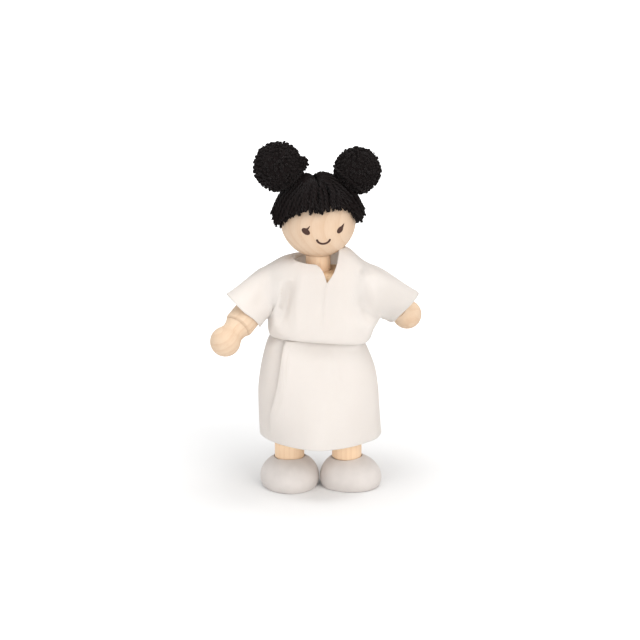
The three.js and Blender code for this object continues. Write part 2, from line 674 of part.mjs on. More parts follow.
// Blouse: bloused over the waist, open at the armholes and at a V neck
const BLOUSE_STATIONS = placed([
  { up: 0.058, x: 0, width: waistWidth, depth: waistDepth, square: 9 },
  { up: 0.021, x: 0, width: 1.389, depth: 1.53, square: 5 },
  { up: 0.009, x: 0.016, width: 1.5, depth: 1.67, square: 4 },
  { up: 0.067, x: 0.04, width: 1.571, depth: 1.753, square: 3.6 },
  { up: 0.197, x: 0.063, width: 1.54, depth: 1.694, square: 3.6 },
  { up: 0.348, x: 0.032, width: 1.413, depth: 1.576, square: 4 },
  { up: 0.515, x: 0, width: 1.325, depth: 1.435, square: 4 },
  { up: 0.682, x: 0, width: 1.294, depth: 1.33, square: 4 },
  { up: 0.827, x: 0, width: 1.27, depth: 1.2, square: 4 },
  { up: 0.918, x: 0.016, width: 1.175, depth: 1.012, square: 3.4 },
  { up: 0.979, x: 0.04, width: 0.952, depth: 0.87, square: 2.6, tilt: 0.06 },
  { up: 1, x: 0.048, width: 0.762, depth: 0.835, square: 2.2, tilt: 0.1 },
], waistZ, TORSO_TOP + BLOUSE_ABOVE_TORSO - waistZ);
const BLOUSE_HANG = 3;              // the station where the blouse starts to hang free
const BLOUSE_FOLDS = [
  { at: 0.632, spread: 0.016, depth: -1, from: 0.2, to: 0.7 },
  { at: 0.668, spread: 0.02, depth: 0.6, from: 0.2, to: 0.6 },
  { at: 0.885, spread: 0.02, depth: -1, from: 0.15, to: 0.6 },
  { at: 0.915, spread: 0.018, depth: 0.6, from: 0.15, to: 0.5 },
  { at: 0.75, spread: 0.045, depth: 0.4, from: 0.05, to: 0.4 },
  { at: 0.16, spread: 0.025, depth: -0.8, from: 0.15, to: 0.6 },
  { at: 0.34, spread: 0.025, depth: -0.8, from: 0.15, to: 0.6 },
  { at: 0.25, spread: 0.03, depth: 0.5, from: 0.1, to: 0.5 },
];
// The neck opening's outline, from the left fold down to the point of the V and up to the right:
// across as shares of the neck's radius, and up from the torso's top as shares of the collar's height
const NECK_V = [
  [-1.85, 1.23],
  [-1.26, 0.65],
  [-0.17, 0.58],
  [0.41, 0.2],
  [0.67, -0.41],
  [1.09, 0.33],
  [1.57, 1.23],
];

/** How far out the blouse's side lies at a place, measured along X on one side. */
function blouseSide(side, y, height) {
  const z = THREE.MathUtils.clamp(height, BLOUSE_STATIONS[BLOUSE_HANG].z, BLOUSE_STATIONS.at(-1).z);
  const above = BLOUSE_STATIONS.findIndex((station, row) => row > BLOUSE_HANG && station.z >= z);
  const [low, high] = [BLOUSE_STATIONS[above - 1], BLOUSE_STATIONS[above]];
  const share = (z - low.z) / (high.z - low.z);
  const at = (key) => THREE.MathUtils.lerp(low[key], high[key], share);
  const round = Math.max(0, 1 - Math.abs(y / ((at('depth') * TORSO_DEPTH) / 2)) ** at('square'));
  return CHEST_HALF_WIDTH * (side * at('x') + at('width') * round ** (1 / at('square')));
}

/** Moves a point of a sleeve out until the cloth clears the arm inside it and the blouse beside it. */
function clearSleeve(point, side, arm) {
  const beside = blouseSide(side, point.y, point.z) + CLOTH + 2 * GAP;
  point.x = side * Math.max(side * point.x, beside);
  const joint = arm.start;
  const nearest = arm.closestPointToPoint(point, true, new THREE.Vector3());
  const radial = point.clone().sub(nearest);
  const onUpperArm = joint.distanceTo(nearest) < UPPER_ARM_LENGTH;
  const beadRadius = onUpperArm ? UPPER_ARM_RADIUS : FOREARM_RADIUS;
  const least = beadRadius + CLOTH + 2 * GAP;
  return radial.length() < least ? nearest.add(radial.setLength(least)) : point;
}

/** Rings of a sleeve, from the armhole to its slanted mouth round the forearm. */
function sleeveRings({ side, swing, raise, sleeve }, grow = 0) {
  const turn = new THREE.Euler(radians(swing), 0, 0);
  const lift = new THREE.Euler(0, -side * radians(raise), 0);
  const place = (x, y, z) => new THREE.Vector3(x, y, z).applyEuler(lift).applyEuler(turn);
  const upOut = place(side, 0, 0);
  const across = place(0, 1, 0);
  const joint = new THREE.Vector3(side * shoulder.x, 0, shoulder.z);
  const arm = new THREE.Line3(joint, place(0, 0, -ARM_LENGTH).add(joint));
  const mouth = place(0, 0, -sleeve).add(joint).addScaledVector(upOut, SLEEVE_RISE);
  const ringRadius = ARMHOLE_RADIUS - GAP;
  const starts = [];
  const ends = [];
  for (let i = 0; i < SLEEVE_SIDES; i += 1) {
    const angle = (2 * Math.PI * i) / SLEEVE_SIDES;
    const [up, back] = [Math.cos(angle), -side * Math.sin(angle)];
    const [y, z] = [ringRadius * back, armholeZ + ringRadius * up];
    starts.push(new THREE.Vector3(side * (blouseSide(side, y, z) - CLOTH / 2), y, z));
    ends.push(mouth.clone()
      .addScaledVector(upOut, SLEEVE_HALF_HEIGHT * up)
      .addScaledVector(across, SLEEVE_HALF_DEPTH * back));
  }
  const rings = [];
  for (let row = 0; row <= SLEEVE_ROWS; row += 1) {
    const share = row / SLEEVE_ROWS;
    const middle = joint.clone().lerp(mouth, share);
    rings.push(starts.map((start, i) => {
      const angle = (360 * i) / SLEEVE_SIDES;
      const fold = SLEEVE_FOLD * (1 + Math.sin(radians(3 * angle - 90))) * Math.sin(Math.PI * share);
      const point = start.clone().lerp(ends[i], share);
      point.addScaledVector(point.clone().sub(middle).normalize(), fold);
      const clear = row > 0 ? clearSleeve(point, side, arm) : point;
      return clear.addScaledVector(clear.clone().sub(middle).normalize(), grow);
    }));
  }
  return rings;
}

function blouseGeometry() {
  const corners = NECK_V.map(([x, z]) => [x * NECK_RADIUS, TORSO_TOP + z * BLOUSE_ABOVE_TORSO]);
  const outline = new THREE.Shape(corners.map(([x, z]) => new THREE.Vector2(x, z)));
  const reach = 2 * TORSO_DEPTH;
  const vee = new THREE.ExtrudeGeometry(outline, { depth: reach, bevelEnabled: false })
    .rotateX(Math.PI / 2)
    .translate(0, -NECK_RADIUS / 2, 0);
  const armholes = [-1, 1].map((side) => rod(ARMHOLE_RADIUS, 0, reach, 22)
    .rotateY(side * (Math.PI / 2))
    .translate(side * CHEST_HALF_WIDTH, 0, armholeZ));
  const sleeves = Object.values(ARM_POSES).map((pose) => stacked(sleeveRings(pose, GAP)));
  const whole = clothTube(garmentRings(BLOUSE_STATIONS, BLOUSE_FOLDS, BLOUSE_SIDES));
  return cut(whole, vee, ...armholes, ...sleeves);
}

piece(figure, 'blouse', blouseGeometry(), COTTON);

for (const [name, pose] of Object.entries(ARM_POSES)) {
  piece(figure, `sleeve_${name}`, clothTube(sleeveRings(pose)), COTTON);
}

export default figure;
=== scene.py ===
"""A jointed dollhouse figure: turned wood, yarn hair in two buns, a cotton blouse and skirt, painted feet.

Metres, +Z up. The figure faces -Y and "left" is the -X side, as a viewer in front of it sees it.
"""

import logging
import random
from abc import ABC, abstractmethod
from dataclasses import dataclass, field, fields
from enum import Enum
from math import acos, asin, atan2, copysign, cos, degrees, exp, hypot, inf, pi, radians, sin, sqrt, tanh
from typing import Iterable, Sequence

import bmesh
import bpy
from mathutils import Matrix, Vector, noise


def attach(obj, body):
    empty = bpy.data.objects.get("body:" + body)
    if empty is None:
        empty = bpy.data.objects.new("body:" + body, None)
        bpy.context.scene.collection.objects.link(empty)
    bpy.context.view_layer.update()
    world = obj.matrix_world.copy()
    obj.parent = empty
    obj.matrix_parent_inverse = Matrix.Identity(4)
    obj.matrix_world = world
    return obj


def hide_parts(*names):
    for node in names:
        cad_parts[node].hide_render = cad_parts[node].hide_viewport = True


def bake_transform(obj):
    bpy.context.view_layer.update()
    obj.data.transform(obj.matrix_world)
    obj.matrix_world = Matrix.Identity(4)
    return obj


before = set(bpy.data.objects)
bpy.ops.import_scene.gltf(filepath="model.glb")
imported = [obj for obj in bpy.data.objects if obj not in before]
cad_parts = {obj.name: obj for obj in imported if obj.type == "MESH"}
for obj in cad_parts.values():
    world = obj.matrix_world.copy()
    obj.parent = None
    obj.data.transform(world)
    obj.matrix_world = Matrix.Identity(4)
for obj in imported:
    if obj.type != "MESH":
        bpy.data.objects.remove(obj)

logging.basicConfig(level=logging.INFO, format="%(message)s")
log = logging.getLogger("figure")

MM = 0.001
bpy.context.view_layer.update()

Profile = list[tuple[float, float]]
Strand = list[tuple[Vector, float]]
Colour = tuple[float, float, float, float]
Place = tuple[float, float, float]
Bell = tuple[float, float, float]
Shape = bmesh.types.BMesh
Piece = bpy.types.Object
Material = bpy.types.Material
Node = bpy.types.Node
Socket = bpy.types.NodeSocket

# A wave texture's scale times the spacing of its rings
RINGS_PER_SCALE = 0.31

# Degrees between faces beyond which an edge of a hard piece stays crisp, and of cloth
SHARP_OVER, CLOTH_SHARP_OVER = 40.0, 150.0


class Side(Enum):
    """The two sides of the figure, as seen from its front."""

    LEFT = "left"
    RIGHT = "right"

    @property
    def sign(self) -> int:
        """-1 on the left, 1 on the right."""
        return -1 if self is Side.LEFT else 1


# Node trees


class Nodes:
    """A short way to fill a node tree."""

    def __init__(self, tree: bpy.types.NodeTree) -> None:
        """Keeps a material's or a group's node tree."""
        self.tree = tree

    def fill(self, node: Node, inputs: dict[str | int, object]) -> Node:
        """Sets or links some inputs of a node.

        Args:
            node: The node.
            inputs: Input name or number to a value or to a socket that feeds it.

        Returns:
            The node.
        """
        for name, value in inputs.items():
            if isinstance(value, Socket):
                self.tree.links.new(value, node.inputs[name])
            else:
                node.inputs[name].default_value = value
        return node

    def add(self, kind: str, inputs: dict | None = None, **settings: object) -> Node:
        """Adds a node, sets its properties and fills its inputs.

        Args:
            kind: The node's type name.
            inputs: As for fill.
            **settings: Properties of the node.

        Returns:
            The new node.
        """
        node = self.tree.nodes.new(kind)
        for name, value in settings.items():
            setattr(node, name, value)
        return self.fill(node, inputs or {})

    def math(self, operation: str, *values: float | Socket) -> Socket:
        """A Math node's result.

        Args:
            operation: The node's operation.
            *values: Numbers or sockets.

        Returns:
            The output socket.
        """
        return self.add("ShaderNodeMath", dict(enumerate(values)), operation=operation).outputs[0]

    def total(self, first: Socket, *others: Socket) -> Socket:
        """The sum of some values, clamped to 0 and 1."""
        for other in others:
            first = self.math("ADD", first, other)
        return self.add("ShaderNodeClamp", {"Value": first}).outputs[0]

    def remap(self, value: Socket, low: float, high: float, to_low: float, to_high: float) -> Socket:
        """Maps a value from one range to another, clamped.

        Args:
            value: The socket to map.
            low: Lower end of its range.
            high: Upper end of its range.
            to_low: What the lower end becomes.
            to_high: What the upper end becomes.

        Returns:
            The output socket.
        """
        inputs = {"Value": value, "From Min": low, "From Max": high, "To Min": to_low, "To Max": to_high}
        return self.add("ShaderNodeMapRange", inputs).outputs["Result"]

    def blend(self, factor: Socket | float, first: Socket | Colour, second: Socket | Colour) -> Socket:
        """A mix of two colours.

        Args:
            factor: 0 gives the first colour, 1 the second.
            first: A colour or a socket.
            second: A colour or a socket.

        Returns:
            The output socket.
        """
        node = self.add("ShaderNodeMix", data_type="RGBA")
        places = {socket.identifier: number for number, socket in enumerate(node.inputs)}
        values = {"Factor_Float": factor, "A_Color": first, "B_Color": second}
        self.fill(node, {places[name]: value for name, value in values.items()})
        return next(s for s in node.outputs if s.identifier == "Result_Color")

    def noise(self, vector: Socket, scale: float | Socket, detail: float, roughness: float = 0.5) -> Socket:
        """A noise texture's value at a vector."""
        inputs = {"Vector": vector, "Scale": scale, "Detail": detail, "Roughness": roughness}
        return self.add("ShaderNodeTexNoise", inputs).outputs["Fac"]

    def mapped(self, vector: Socket, **inputs: tuple) -> Socket:
        """A vector after a Mapping node, whose inputs are given by name."""
        return self.add("ShaderNodeMapping", {"Vector": vector, **inputs}).outputs[0]

    def bump(self, height: Socket, strength: float, distance: float, **more: Socket) -> Socket:
        """A normal bent by a height.

        Args:
            height: The height, from 0 to 1.
            strength: Share of the effect.
            distance: What a height of 1 stands for, in metres.
            **more: Further inputs.

        Returns:
            The normal.
        """
        inputs = {"Height": height, "Strength": strength, "Distance": distance, **more}
        return self.add("ShaderNodeBump", inputs).outputs[0]

    def coords(self, kind: str = "Object") -> Socket:
        """Texture coordinates of a kind."""
        return self.add("ShaderNodeTexCoord").outputs[kind]


class EffectGroup:
    """A shader node group that several materials share: from a vector and a measure to some values."""

    def __init__(self, name: str, measure: str, outputs: Sequence[str]) -> None:
        """Makes the empty group with its sockets.

        Args:
            name: The group's name.
            measure: Name of its float input.
            outputs: Names of the outputs, all floats.
        """
        self.group = bpy.data.node_groups.new(name, "ShaderNodeTree")
        sockets = [("Vector", "INPUT", "NodeSocketVector"), (measure, "INPUT", "NodeSocketFloat")]
        for label, way, kind in sockets + [(label, "OUTPUT", "NodeSocketFloat") for label in outputs]:
            self.group.interface.new_socket(label, in_out=way, socket_type=kind)
        self.nodes = Nodes(self.group)
        self.source = self.nodes.add("NodeGroupInput").outputs[:2]
        self.sink = self.nodes.add("NodeGroupOutput")

    def out(self, **results: Socket) -> None:
        """Links results to the group's outputs."""
        self.nodes.fill(self.sink, results)

    def place(self, nodes: Nodes, **inputs: float | Socket) -> bpy.types.NodeOutputs:
        """Places the group in a material.

        Args:
            nodes: The material's nodes.
            **inputs: Values or sockets for the group's inputs.

        Returns:
            Its outputs.
        """
        return nodes.add("ShaderNodeGroup", inputs, node_tree=self.group).outputs


def grain_group() -> EffectGroup:
    """Growth rings and fibres of wood that run along the Z of the given vector."""
    effect = EffectGroup("wood grain", "Spacing", ("Rings", "Fibres", "Pores"))
    nodes, (vector, spacing) = effect.nodes, effect.source
    stretched = nodes.mapped(vector, Scale=(1.0, 1.0, 0.12), Location=(0.019, 0.011, 0.0))
    scale = nodes.math("DIVIDE", RINGS_PER_SCALE, spacing)
    waves = {"Vector": stretched, "Scale": scale, "Distortion": 2.6, "Detail": 2.0, "Detail Scale": 0.7}
    kinds = {"wave_type": "RINGS", "rings_direction": "Z", "wave_profile": "SAW"}
    fine = nodes.mapped(vector, Scale=(1.0, 1.0, 0.035))
    effect.out(
        Rings=nodes.add("ShaderNodeTexWave", waves, **kinds).outputs["Fac"],
        Fibres=nodes.noise(fine, 2600.0, 4.0, 0.6),
        Pores=nodes.remap(nodes.noise(fine, 1100.0, 2.0), 0.62, 0.72, 0.0, 1.0),
    )
    return effect


def weave_group() -> EffectGroup:
    """A plain weave over a UV map in metres."""
    effect = EffectGroup("plain weave", "Pitch", ("Height",))
    nodes, (vector, pitch) = effect.nodes, effect.source
    split = nodes.add("ShaderNodeSeparateXYZ", {"Vector": vector})
    turn = nodes.math("DIVIDE", pi, pitch)
    across, along = (nodes.math("SINE", nodes.math("MULTIPLY", split.outputs[axis], turn)) for axis in "XY")
    over = nodes.math("GREATER_THAN", nodes.math("MULTIPLY", across, along), 0.0)
    warp = nodes.math("MULTIPLY", nodes.math("ABSOLUTE", across), over)
    weft = nodes.math("MULTIPLY", nodes.math("ABSOLUTE", along), nodes.math("SUBTRACT", 1.0, over))
    effect.out(Height=nodes.math("ADD", warp, weft))
    return effect


def mottle_group() -> EffectGroup:
    """Slow unevenness, for paint, yarn and cloth."""
    effect = EffectGroup("mottle", "Size", ("Slow", "Fast"))
    nodes, (vector, size) = effect.nodes, effect.source
    scale = nodes.math("DIVIDE", 1.0, size)
    fast = nodes.noise(vector, nodes.math("MULTIPLY", scale, 7.0), 3.0)
    effect.out(Slow=nodes.noise(vector, scale, 2.0), Fast=fast)
    return effect


@dataclass(frozen=True)
class Effects:
    """The effects that the finishes share."""

    grain: EffectGroup
    weave: EffectGroup
    mottle: EffectGroup


def colour(red: float, green: float, blue: float) -> Colour:
    """A linear colour from 0 to 255 display values."""
    shares = [value / 255 for value in (red, green, blue)]
    linear = [share / 12.92 if share <= 0.04045 else ((share + 0.055) / 1.055) ** 2.4 for share in shares]
    return (*linear, 1.0)


def new_material(name: str) -> tuple[Material, Nodes, Node]:
    """An empty material with a Principled shader.

    Args:
        name: The material's name.

    Returns:
        The material, its nodes and the shader.
    """
    material = bpy.data.materials.new(name)
    material.use_nodes = True
    material.node_tree.nodes.clear()
    nodes = Nodes(material.node_tree)
    shader = nodes.add("ShaderNodeBsdfPrincipled")
    nodes.add("ShaderNodeOutputMaterial", {"Surface": shader.outputs[0]})
    return material, nodes, shader


@dataclass(frozen=True)
class Finish:
    """A material in code.

    Attributes:
        name: The material's name.
        tone: Its main colour.
    """

    name: str
    tone: Colour

    def dress(self, nodes: Nodes, effects: Effects) -> dict[str, object]:
        """What the shader's inputs get.

        Args:
            nodes: The material's nodes.
            effects: The shared effects.

        Returns:
            Input name to a value or a socket.
        """
        raise NotImplementedError

    def build(self, effects: Effects) -> Material:
        """Makes the material.

        Args:
            effects: The shared effects.

        Returns:
            The material.
        """
        material, nodes, shader = new_material(self.name)
        nodes.fill(shader, self.dress(nodes, effects))
        return material


@dataclass(frozen=True)
class WoodFinish(Finish):
    """Sanded wood with its grain along a direction; its tone is the early wood's.

    Attributes:
        dark: Colour of the late wood.
        spacing: Between growth rings, in metres.
        along: Direction of the grain.
        pith: A point on the grain's axis, which sets where the rings fall.
        roughness: Its mean roughness.
    """

    dark: Colour
    spacing: float = 1.6 * MM
    along: Place = (0.0, 0.0, 1.0)
    pith: Place = (0.0, 0.0, 0.0)
    roughness: float = 0.52

    def dress(self, nodes: Nodes, effects: Effects) -> dict[str, object]:
        """Growth rings, fibres, pores and slow patches."""
        turn = Vector(self.along).rotation_difference(Vector((0, 0, 1))).to_euler()
        moved = nodes.mapped(nodes.coords(), Location=tuple(-Vector(self.pith)))
        turned = nodes.mapped(moved, Rotation=tuple(turn))
        grain = effects.grain.place(nodes, Vector=turned, Spacing=self.spacing)
        uneven = effects.mottle.place(nodes, Vector=turned, Size=9 * MM)
        shade = nodes.total(
            nodes.remap(grain["Rings"], 0.45, 1.0, 0.0, 0.34),
            nodes.remap(grain["Fibres"], 0.4, 0.75, 0.0, 0.28),
            nodes.remap(uneven["Slow"], 0.35, 0.7, -0.1, 0.18),
            nodes.math("MULTIPLY", grain["Pores"], 0.16),
        )
        rough = (self.roughness - 0.05, self.roughness + 0.09)
        return {
            "Base Color": nodes.blend(shade, self.tone, self.dark),
            "Roughness": nodes.remap(grain["Fibres"], 0.3, 0.7, *rough),
            "Specular IOR Level": 0.35,
            "Normal": nodes.bump(grain["Fibres"], 0.12, 0.05 * MM),
        }


@dataclass(frozen=True)
class PaintFinish(Finish):
    """A thin matte coat of paint."""

    roughness: float = 0.55

    def dress(self, nodes: Nodes, effects: Effects) -> dict[str, object]:
        """A slightly uneven coat."""
        uneven = effects.mottle.place(nodes, Vector=nodes.coords(), Size=5 * MM)
        darker = (*(0.93 * part for part in self.tone[:3]), 1.0)
        share = nodes.remap(uneven["Slow"], 0.35, 0.7, 0.0, 1.0)
        rough = (self.roughness - 0.06, self.roughness + 0.08)
        return {
            "Base Color": nodes.blend(share, self.tone, darker),
            "Roughness": nodes.remap(uneven["Fast"], 0.3, 0.7, *rough),
            "Specular IOR Level": 0.3,
            "Normal": nodes.bump(uneven["Fast"], 0.15, 0.05 * MM),
        }


@dataclass(frozen=True)
class CottonFinish(Finish):
    """Thin plain-woven cotton, over a UV map in metres.

    Attributes:
        shade: Colour of the painted shade in the weave's hollows, between the threads.
        pitch: From one thread to the next, in metres.
        through: Share of the light that passes through.
    """

    shade: Colour
    pitch: float = 0.42 * MM
    through: float = 0.38

    def dress(self, nodes: Nodes, effects: Effects) -> dict[str, object]:
        """The weave, with painted shade in its hollows, and its slow unevenness."""
        height = effects.weave.place(nodes, Vector=nodes.coords("UV"), Pitch=self.pitch)["Height"]
        uneven = effects.mottle.place(nodes, Vector=nodes.coords(), Size=7 * MM)
        # Painted shade: where the weave lies low, between the threads, the colour is drawn halfway to the
        # shade colour; the slow part is random unevenness of the cloth
        share = nodes.total(
            nodes.remap(height, 0.0, 0.7, 0.5, 0.0),
            nodes.remap(uneven["Slow"], 0.35, 0.7, 0.0, 0.06),
        )
        slub = nodes.bump(uneven["Fast"], 0.18, 0.12 * MM)
        return {
            "Base Color": nodes.blend(share, self.tone, self.shade),
            "Roughness": 0.88,
            "Specular IOR Level": 0.2,
            "Sheen Weight": 0.12,
            "Sheen Roughness": 0.6,
            "Normal": nodes.bump(height, 0.4, 0.06 * MM, Normal=slub),
        }

    def build(self, effects: Effects) -> Material:
        """Makes the material, with some light let through.

        Args:
            effects: The shared effects.

        Returns:
            The material.
        """
        material = super().build(effects)
        nodes = Nodes(material.node_tree)
        by_type = {node.type: node for node in material.node_tree.nodes}
        through = nodes.add("ShaderNodeBsdfTranslucent", {"Color": self.tone}).outputs[0]
        shader = by_type["BSDF_PRINCIPLED"].outputs[0]
        both = nodes.add("ShaderNodeMixShader", {0: self.through, 1: shader, 2: through})
        nodes.fill(by_type["OUTPUT_MATERIAL"], {"Surface": both.outputs[0]})
        return material


@dataclass(frozen=True)
class YarnFinish(Finish):
    """Soft matte yarn or cord.

    Attributes:
        flecks_and_glints: Colour of random spots among the fibres: painted glints where it is lighter than
            the tone, as on the hair, and darker flecks of the yarn's own where it is darker, as on the cord.
        sheen: Weight of the sheen.
        grain: Size of its unevenness, in metres.
    """

    flecks_and_glints: Colour
    sheen: float = 0.25
    grain: float = 1.5 * MM

    def dress(self, nodes: Nodes, effects: Effects) -> dict[str, object]:
        """Fine fibres spotted at random with a second colour: painted glints on the hair, darker flecks on
        the cord.
        """
        uneven = effects.mottle.place(nodes, Vector=nodes.coords(), Size=self.grain)
        # Random spots of the fibres take the second colour; on the hair, where it is lighter, these are
        # painted glints
        share = nodes.remap(uneven["Fast"], 0.4, 0.75, 0.0, 1.0)
        return {
            "Base Color": nodes.blend(share, self.tone, self.flecks_and_glints),
            "Roughness": 0.95,
            "Specular IOR Level": 0.12,
            "Sheen Weight": self.sheen,
            "Sheen Roughness": 0.5,
            "Normal": nodes.bump(uneven["Fast"], 0.5, 0.2 * MM),
        }


# Shapes


def smooth(value: float, low: float, high: float) -> float:
    """0 below low, 1 above high, and a smooth rise between."""
    share = min(1.0, max(0.0, (value - low) / (high - low)))
    return share * share * (3 - 2 * share)


def bell(value: float, at: float, spread: float, size: float = 1.0) -> float:
    """A bell curve about a place, with its spread and its greatest size."""
    return size * exp(-(((value - at) / spread) ** 2))


def height_at(line: Sequence[tuple[float, float]], place: float) -> float | None:
    """Height of a line of points [place, height] at a place, or None beyond its ends."""
    for (left, low), (right, high) in zip(line, line[1:]):
        if left <= place <= right:
            return low + (high - low) * ((place - left) / (right - left))
    return None


def in_metres(rings: Iterable[Iterable[Vector]]) -> list[list[Vector]]:
    """Rows of points from millimetres to metres."""
    return [[point * MM for point in ring] for ring in rings]


def eased(ring: Sequence[Vector], rounds: int) -> list[Vector]:
    """A closed row with each point drawn towards its neighbours, some times over."""
    for _ in range(rounds):
        after = [*ring[1:], ring[0]]
        ring = [(ring[i - 1] + 2 * point + after[i]) / 4 for i, point in enumerate(ring)]
    return list(ring)


def smooth_mesh(shape: Shape, sharp_over: float) -> None:
    """Shades a shape smooth, with edges sharper than an angle kept crisp.

    Args:
        shape: The shape.
        sharp_over: The angle in degrees.
    """
    for face in shape.faces:
        face.smooth = True
    for edge in shape.edges:
        if len(edge.link_faces) == 2 and edge.calc_face_angle(0.0) > radians(sharp_over):
            edge.smooth = False


def soften_edges(shape: Shape, width: float) -> None:
    """Rounds every sharp edge by a width in metres."""
    limit = radians(SHARP_OVER)
    edges = [e for e in shape.edges if len(e.link_faces) == 2 and e.calc_face_angle(0.0) > limit]
    settings = {"offset_type": "OFFSET", "affect": "EDGES", "clamp_overlap": True, "material": -1}
    bmesh.ops.bevel(shape, geom=edges, offset=width, segments=3, profile=0.5, **settings)


def spun(profile: Profile, steps: int = 64, edge: float = 0.0) -> Shape:
    """A turned shape about Z.

    Args:
        profile: Radius and height points, in millimetres. A closed loop if neither end is on the axis.
        steps: Steps of the full turn.
        edge: Width of the rounding of sharp edges, in metres.

    Returns:
        The shape.
    """
    shape = bmesh.new()
    points = [shape.verts.new((radius * MM, 0.0, height * MM)) for radius, height in profile]
    edges = [shape.edges.new(pair) for pair in zip(points, points[1:])]
    if profile[0][0] > 0 and profile[-1][0] > 0:
        edges.append(shape.edges.new((points[-1], points[0])))
    full = {"cent": (0, 0, 0), "axis": (0, 0, 1), "angle": 2 * pi, "use_merge": True}
    bmesh.ops.spin(shape, geom=points + edges, steps=steps, **full)
    bmesh.ops.remove_doubles(shape, verts=shape.verts[:], dist=1e-6)
    bmesh.ops.recalc_face_normals(shape, faces=shape.faces[:])
    if edge > 0:
        soften_edges(shape, edge)
    return shape


def arc(radius: float, centre: float, start: float, end: float, steps: int = 12) -> Profile:
    """Profile points of an arc about a point on the axis.

    Args:
        radius: The arc's radius, in millimetres.
        centre: Height of its centre.
        start: First angle in degrees from the outward direction.
        end: Last angle.
        steps: Steps along the arc.

    Returns:
        The points.
    """
    turns = [radians(start + (end - start) * i / steps) for i in range(steps + 1)]
    return [(max(0.0, radius * cos(turn)), centre + radius * sin(turn)) for turn in turns]


def circle(count: int) -> list[tuple[float, float]]:
    """Cosine and sine of evenly spaced turns."""
    turns = [2 * pi * i / count for i in range(count)]
    return [(cos(turn), sin(turn)) for turn in turns]


def bridged(rings: Sequence[Sequence[Vector]], closed: bool = True, caps: bool = False) -> Shape:
    """A surface through rings of points, with a UV map in metres.

    Args:
        rings: Rows of points, all of one length.
        closed: Whether each row is a loop.
        caps: Whether the first and last rows are closed with a face.

    Returns:
        The shape.
    """
    shape = bmesh.new()
    uv = shape.loops.layers.uv.new("UVMap")
    count = len(rings[0])
    rows = [[shape.verts.new(point) for point in ring] for ring in rings]
    loops = []
    for row in rows:
        pairs = list(zip(row, row[1:]))
        if closed:
            pairs.append((row[-1], row[0]))
        loops.append([shape.edges.new(pair) for pair in pairs])
    for low, high in zip(loops, loops[1:]):
        bmesh.ops.bridge_loops(shape, edges=low + high)
    if caps:
        shape.faces.new(list(reversed(rows[0])))
        shape.faces.new(rows[-1])
    shape.verts.index_update()
    middle = rings[len(rings) // 2]
    across = [0.0]
    for here, there in zip(middle, list(middle[1:]) + [middle[0]]):
        across.append(across[-1] + (there - here).length)
    along = [0.0]
    for here, there in zip(rings, rings[1:]):
        along.append(along[-1] + (there[0] - here[0]).length)
    for face in shape.faces:
        columns = [loop.vert.index % count for loop in face.loops]
        wraps = closed and max(columns) - min(columns) > count // 2
        for loop, column in zip(face.loops, columns):
            place = column + count if wraps and column < count // 2 else column
            loop[uv].uv = (across[min(place, count)], along[loop.vert.index // count])
    bmesh.ops.recalc_face_normals(shape, faces=shape.faces[:])
    return shape


def absorb(whole: Shape, part: Shape) -> None:
    """Adds one shape to another; the added one is freed."""
    scrap = bpy.data.meshes.new("scrap")
    part.to_mesh(scrap)
    part.free()
    whole.from_mesh(scrap)
    bpy.data.meshes.remove(scrap)


def show(name: str, data: bpy.types.ID) -> Piece:
    """Puts a mesh, a curve, a lamp or a camera into the scene."""
    thing = bpy.data.objects.new(name, data)
    bpy.context.scene.collection.objects.link(thing)
    return thing


def finish_piece(
    name: str,
    shape: Shape,
    material: Material,
    body: str,
    replaces: Iterable[str] = (),
    sharp_over: float = SHARP_OVER,
    place: Matrix | None = None,
) -> Piece:
    """Turns a shape into a piece of the figure.

    Args:
        name: The piece's name.
        shape: Its shape in the figure's frame; freed here.
        material: Its finish.
        body: The body that it rides on, or "" for none.
        replaces: The CAD nodes that it stands for.
        sharp_over: Edges with a greater angle than this, in degrees, stay crisp.
        place: From the shape's own frame to the figure's, where they differ.

    Returns:
        The object.
    """
    if place:
        bmesh.ops.transform(shape, matrix=place, verts=shape.verts[:])
    smooth_mesh(shape, sharp_over)
    mesh = bpy.data.meshes.new(name)
    shape.to_mesh(mesh)
    shape.free()
    mesh.materials.append(material)
    piece = show(name, mesh)
    if body:
        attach(piece, body)
    nodes = tuple(replaces)
    if nodes:
        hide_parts(*nodes)
    log.info("%s: %d faces on %s", name, len(mesh.polygons), body or "two bodies")
    return piece


def strands_mesh(
    name: str, paths: Sequence[Strand], material: Material, replaces: Iterable[str] = ()
) -> Piece:
    """Many round strands of the hair as one mesh.

    Args:
        name: The piece's name.
        paths: For each strand its points and the radius at each.
        material: The finish.
        replaces: The CAD nodes that it stands for.

    Returns:
        The object.
    """
    curve = bpy.data.curves.new(f"{name}_line", "CURVE")
    curve.dimensions = "3D"
    curve.bevel_depth = 1.0
    curve.bevel_resolution = 0
    curve.use_fill_caps = True
    for path in paths:
        spline = curve.splines.new("POLY")
        spline.points.add(len(path) - 1)
        for point, (place, radius) in zip(spline.points, path):
            point.co = (*place, 1.0)
            point.radius = radius
    holder = show(f"{name}_line", curve)
    bpy.context.view_layer.update()
    evaluated = holder.evaluated_get(bpy.context.evaluated_depsgraph_get())
    shape = bmesh.new()
    shape.from_mesh(evaluated.to_mesh())
    evaluated.to_mesh_clear()
    bpy.data.objects.remove(holder)
    bpy.data.curves.remove(curve)
    bmesh.ops.remove_doubles(shape, verts=shape.verts[:], dist=1e-7)
    bmesh.ops.recalc_face_normals(shape, faces=shape.faces[:])
    return finish_piece(name, shape, material, "head", replaces)


# Sizes that the wooden pieces and the clothes share, in millimetres

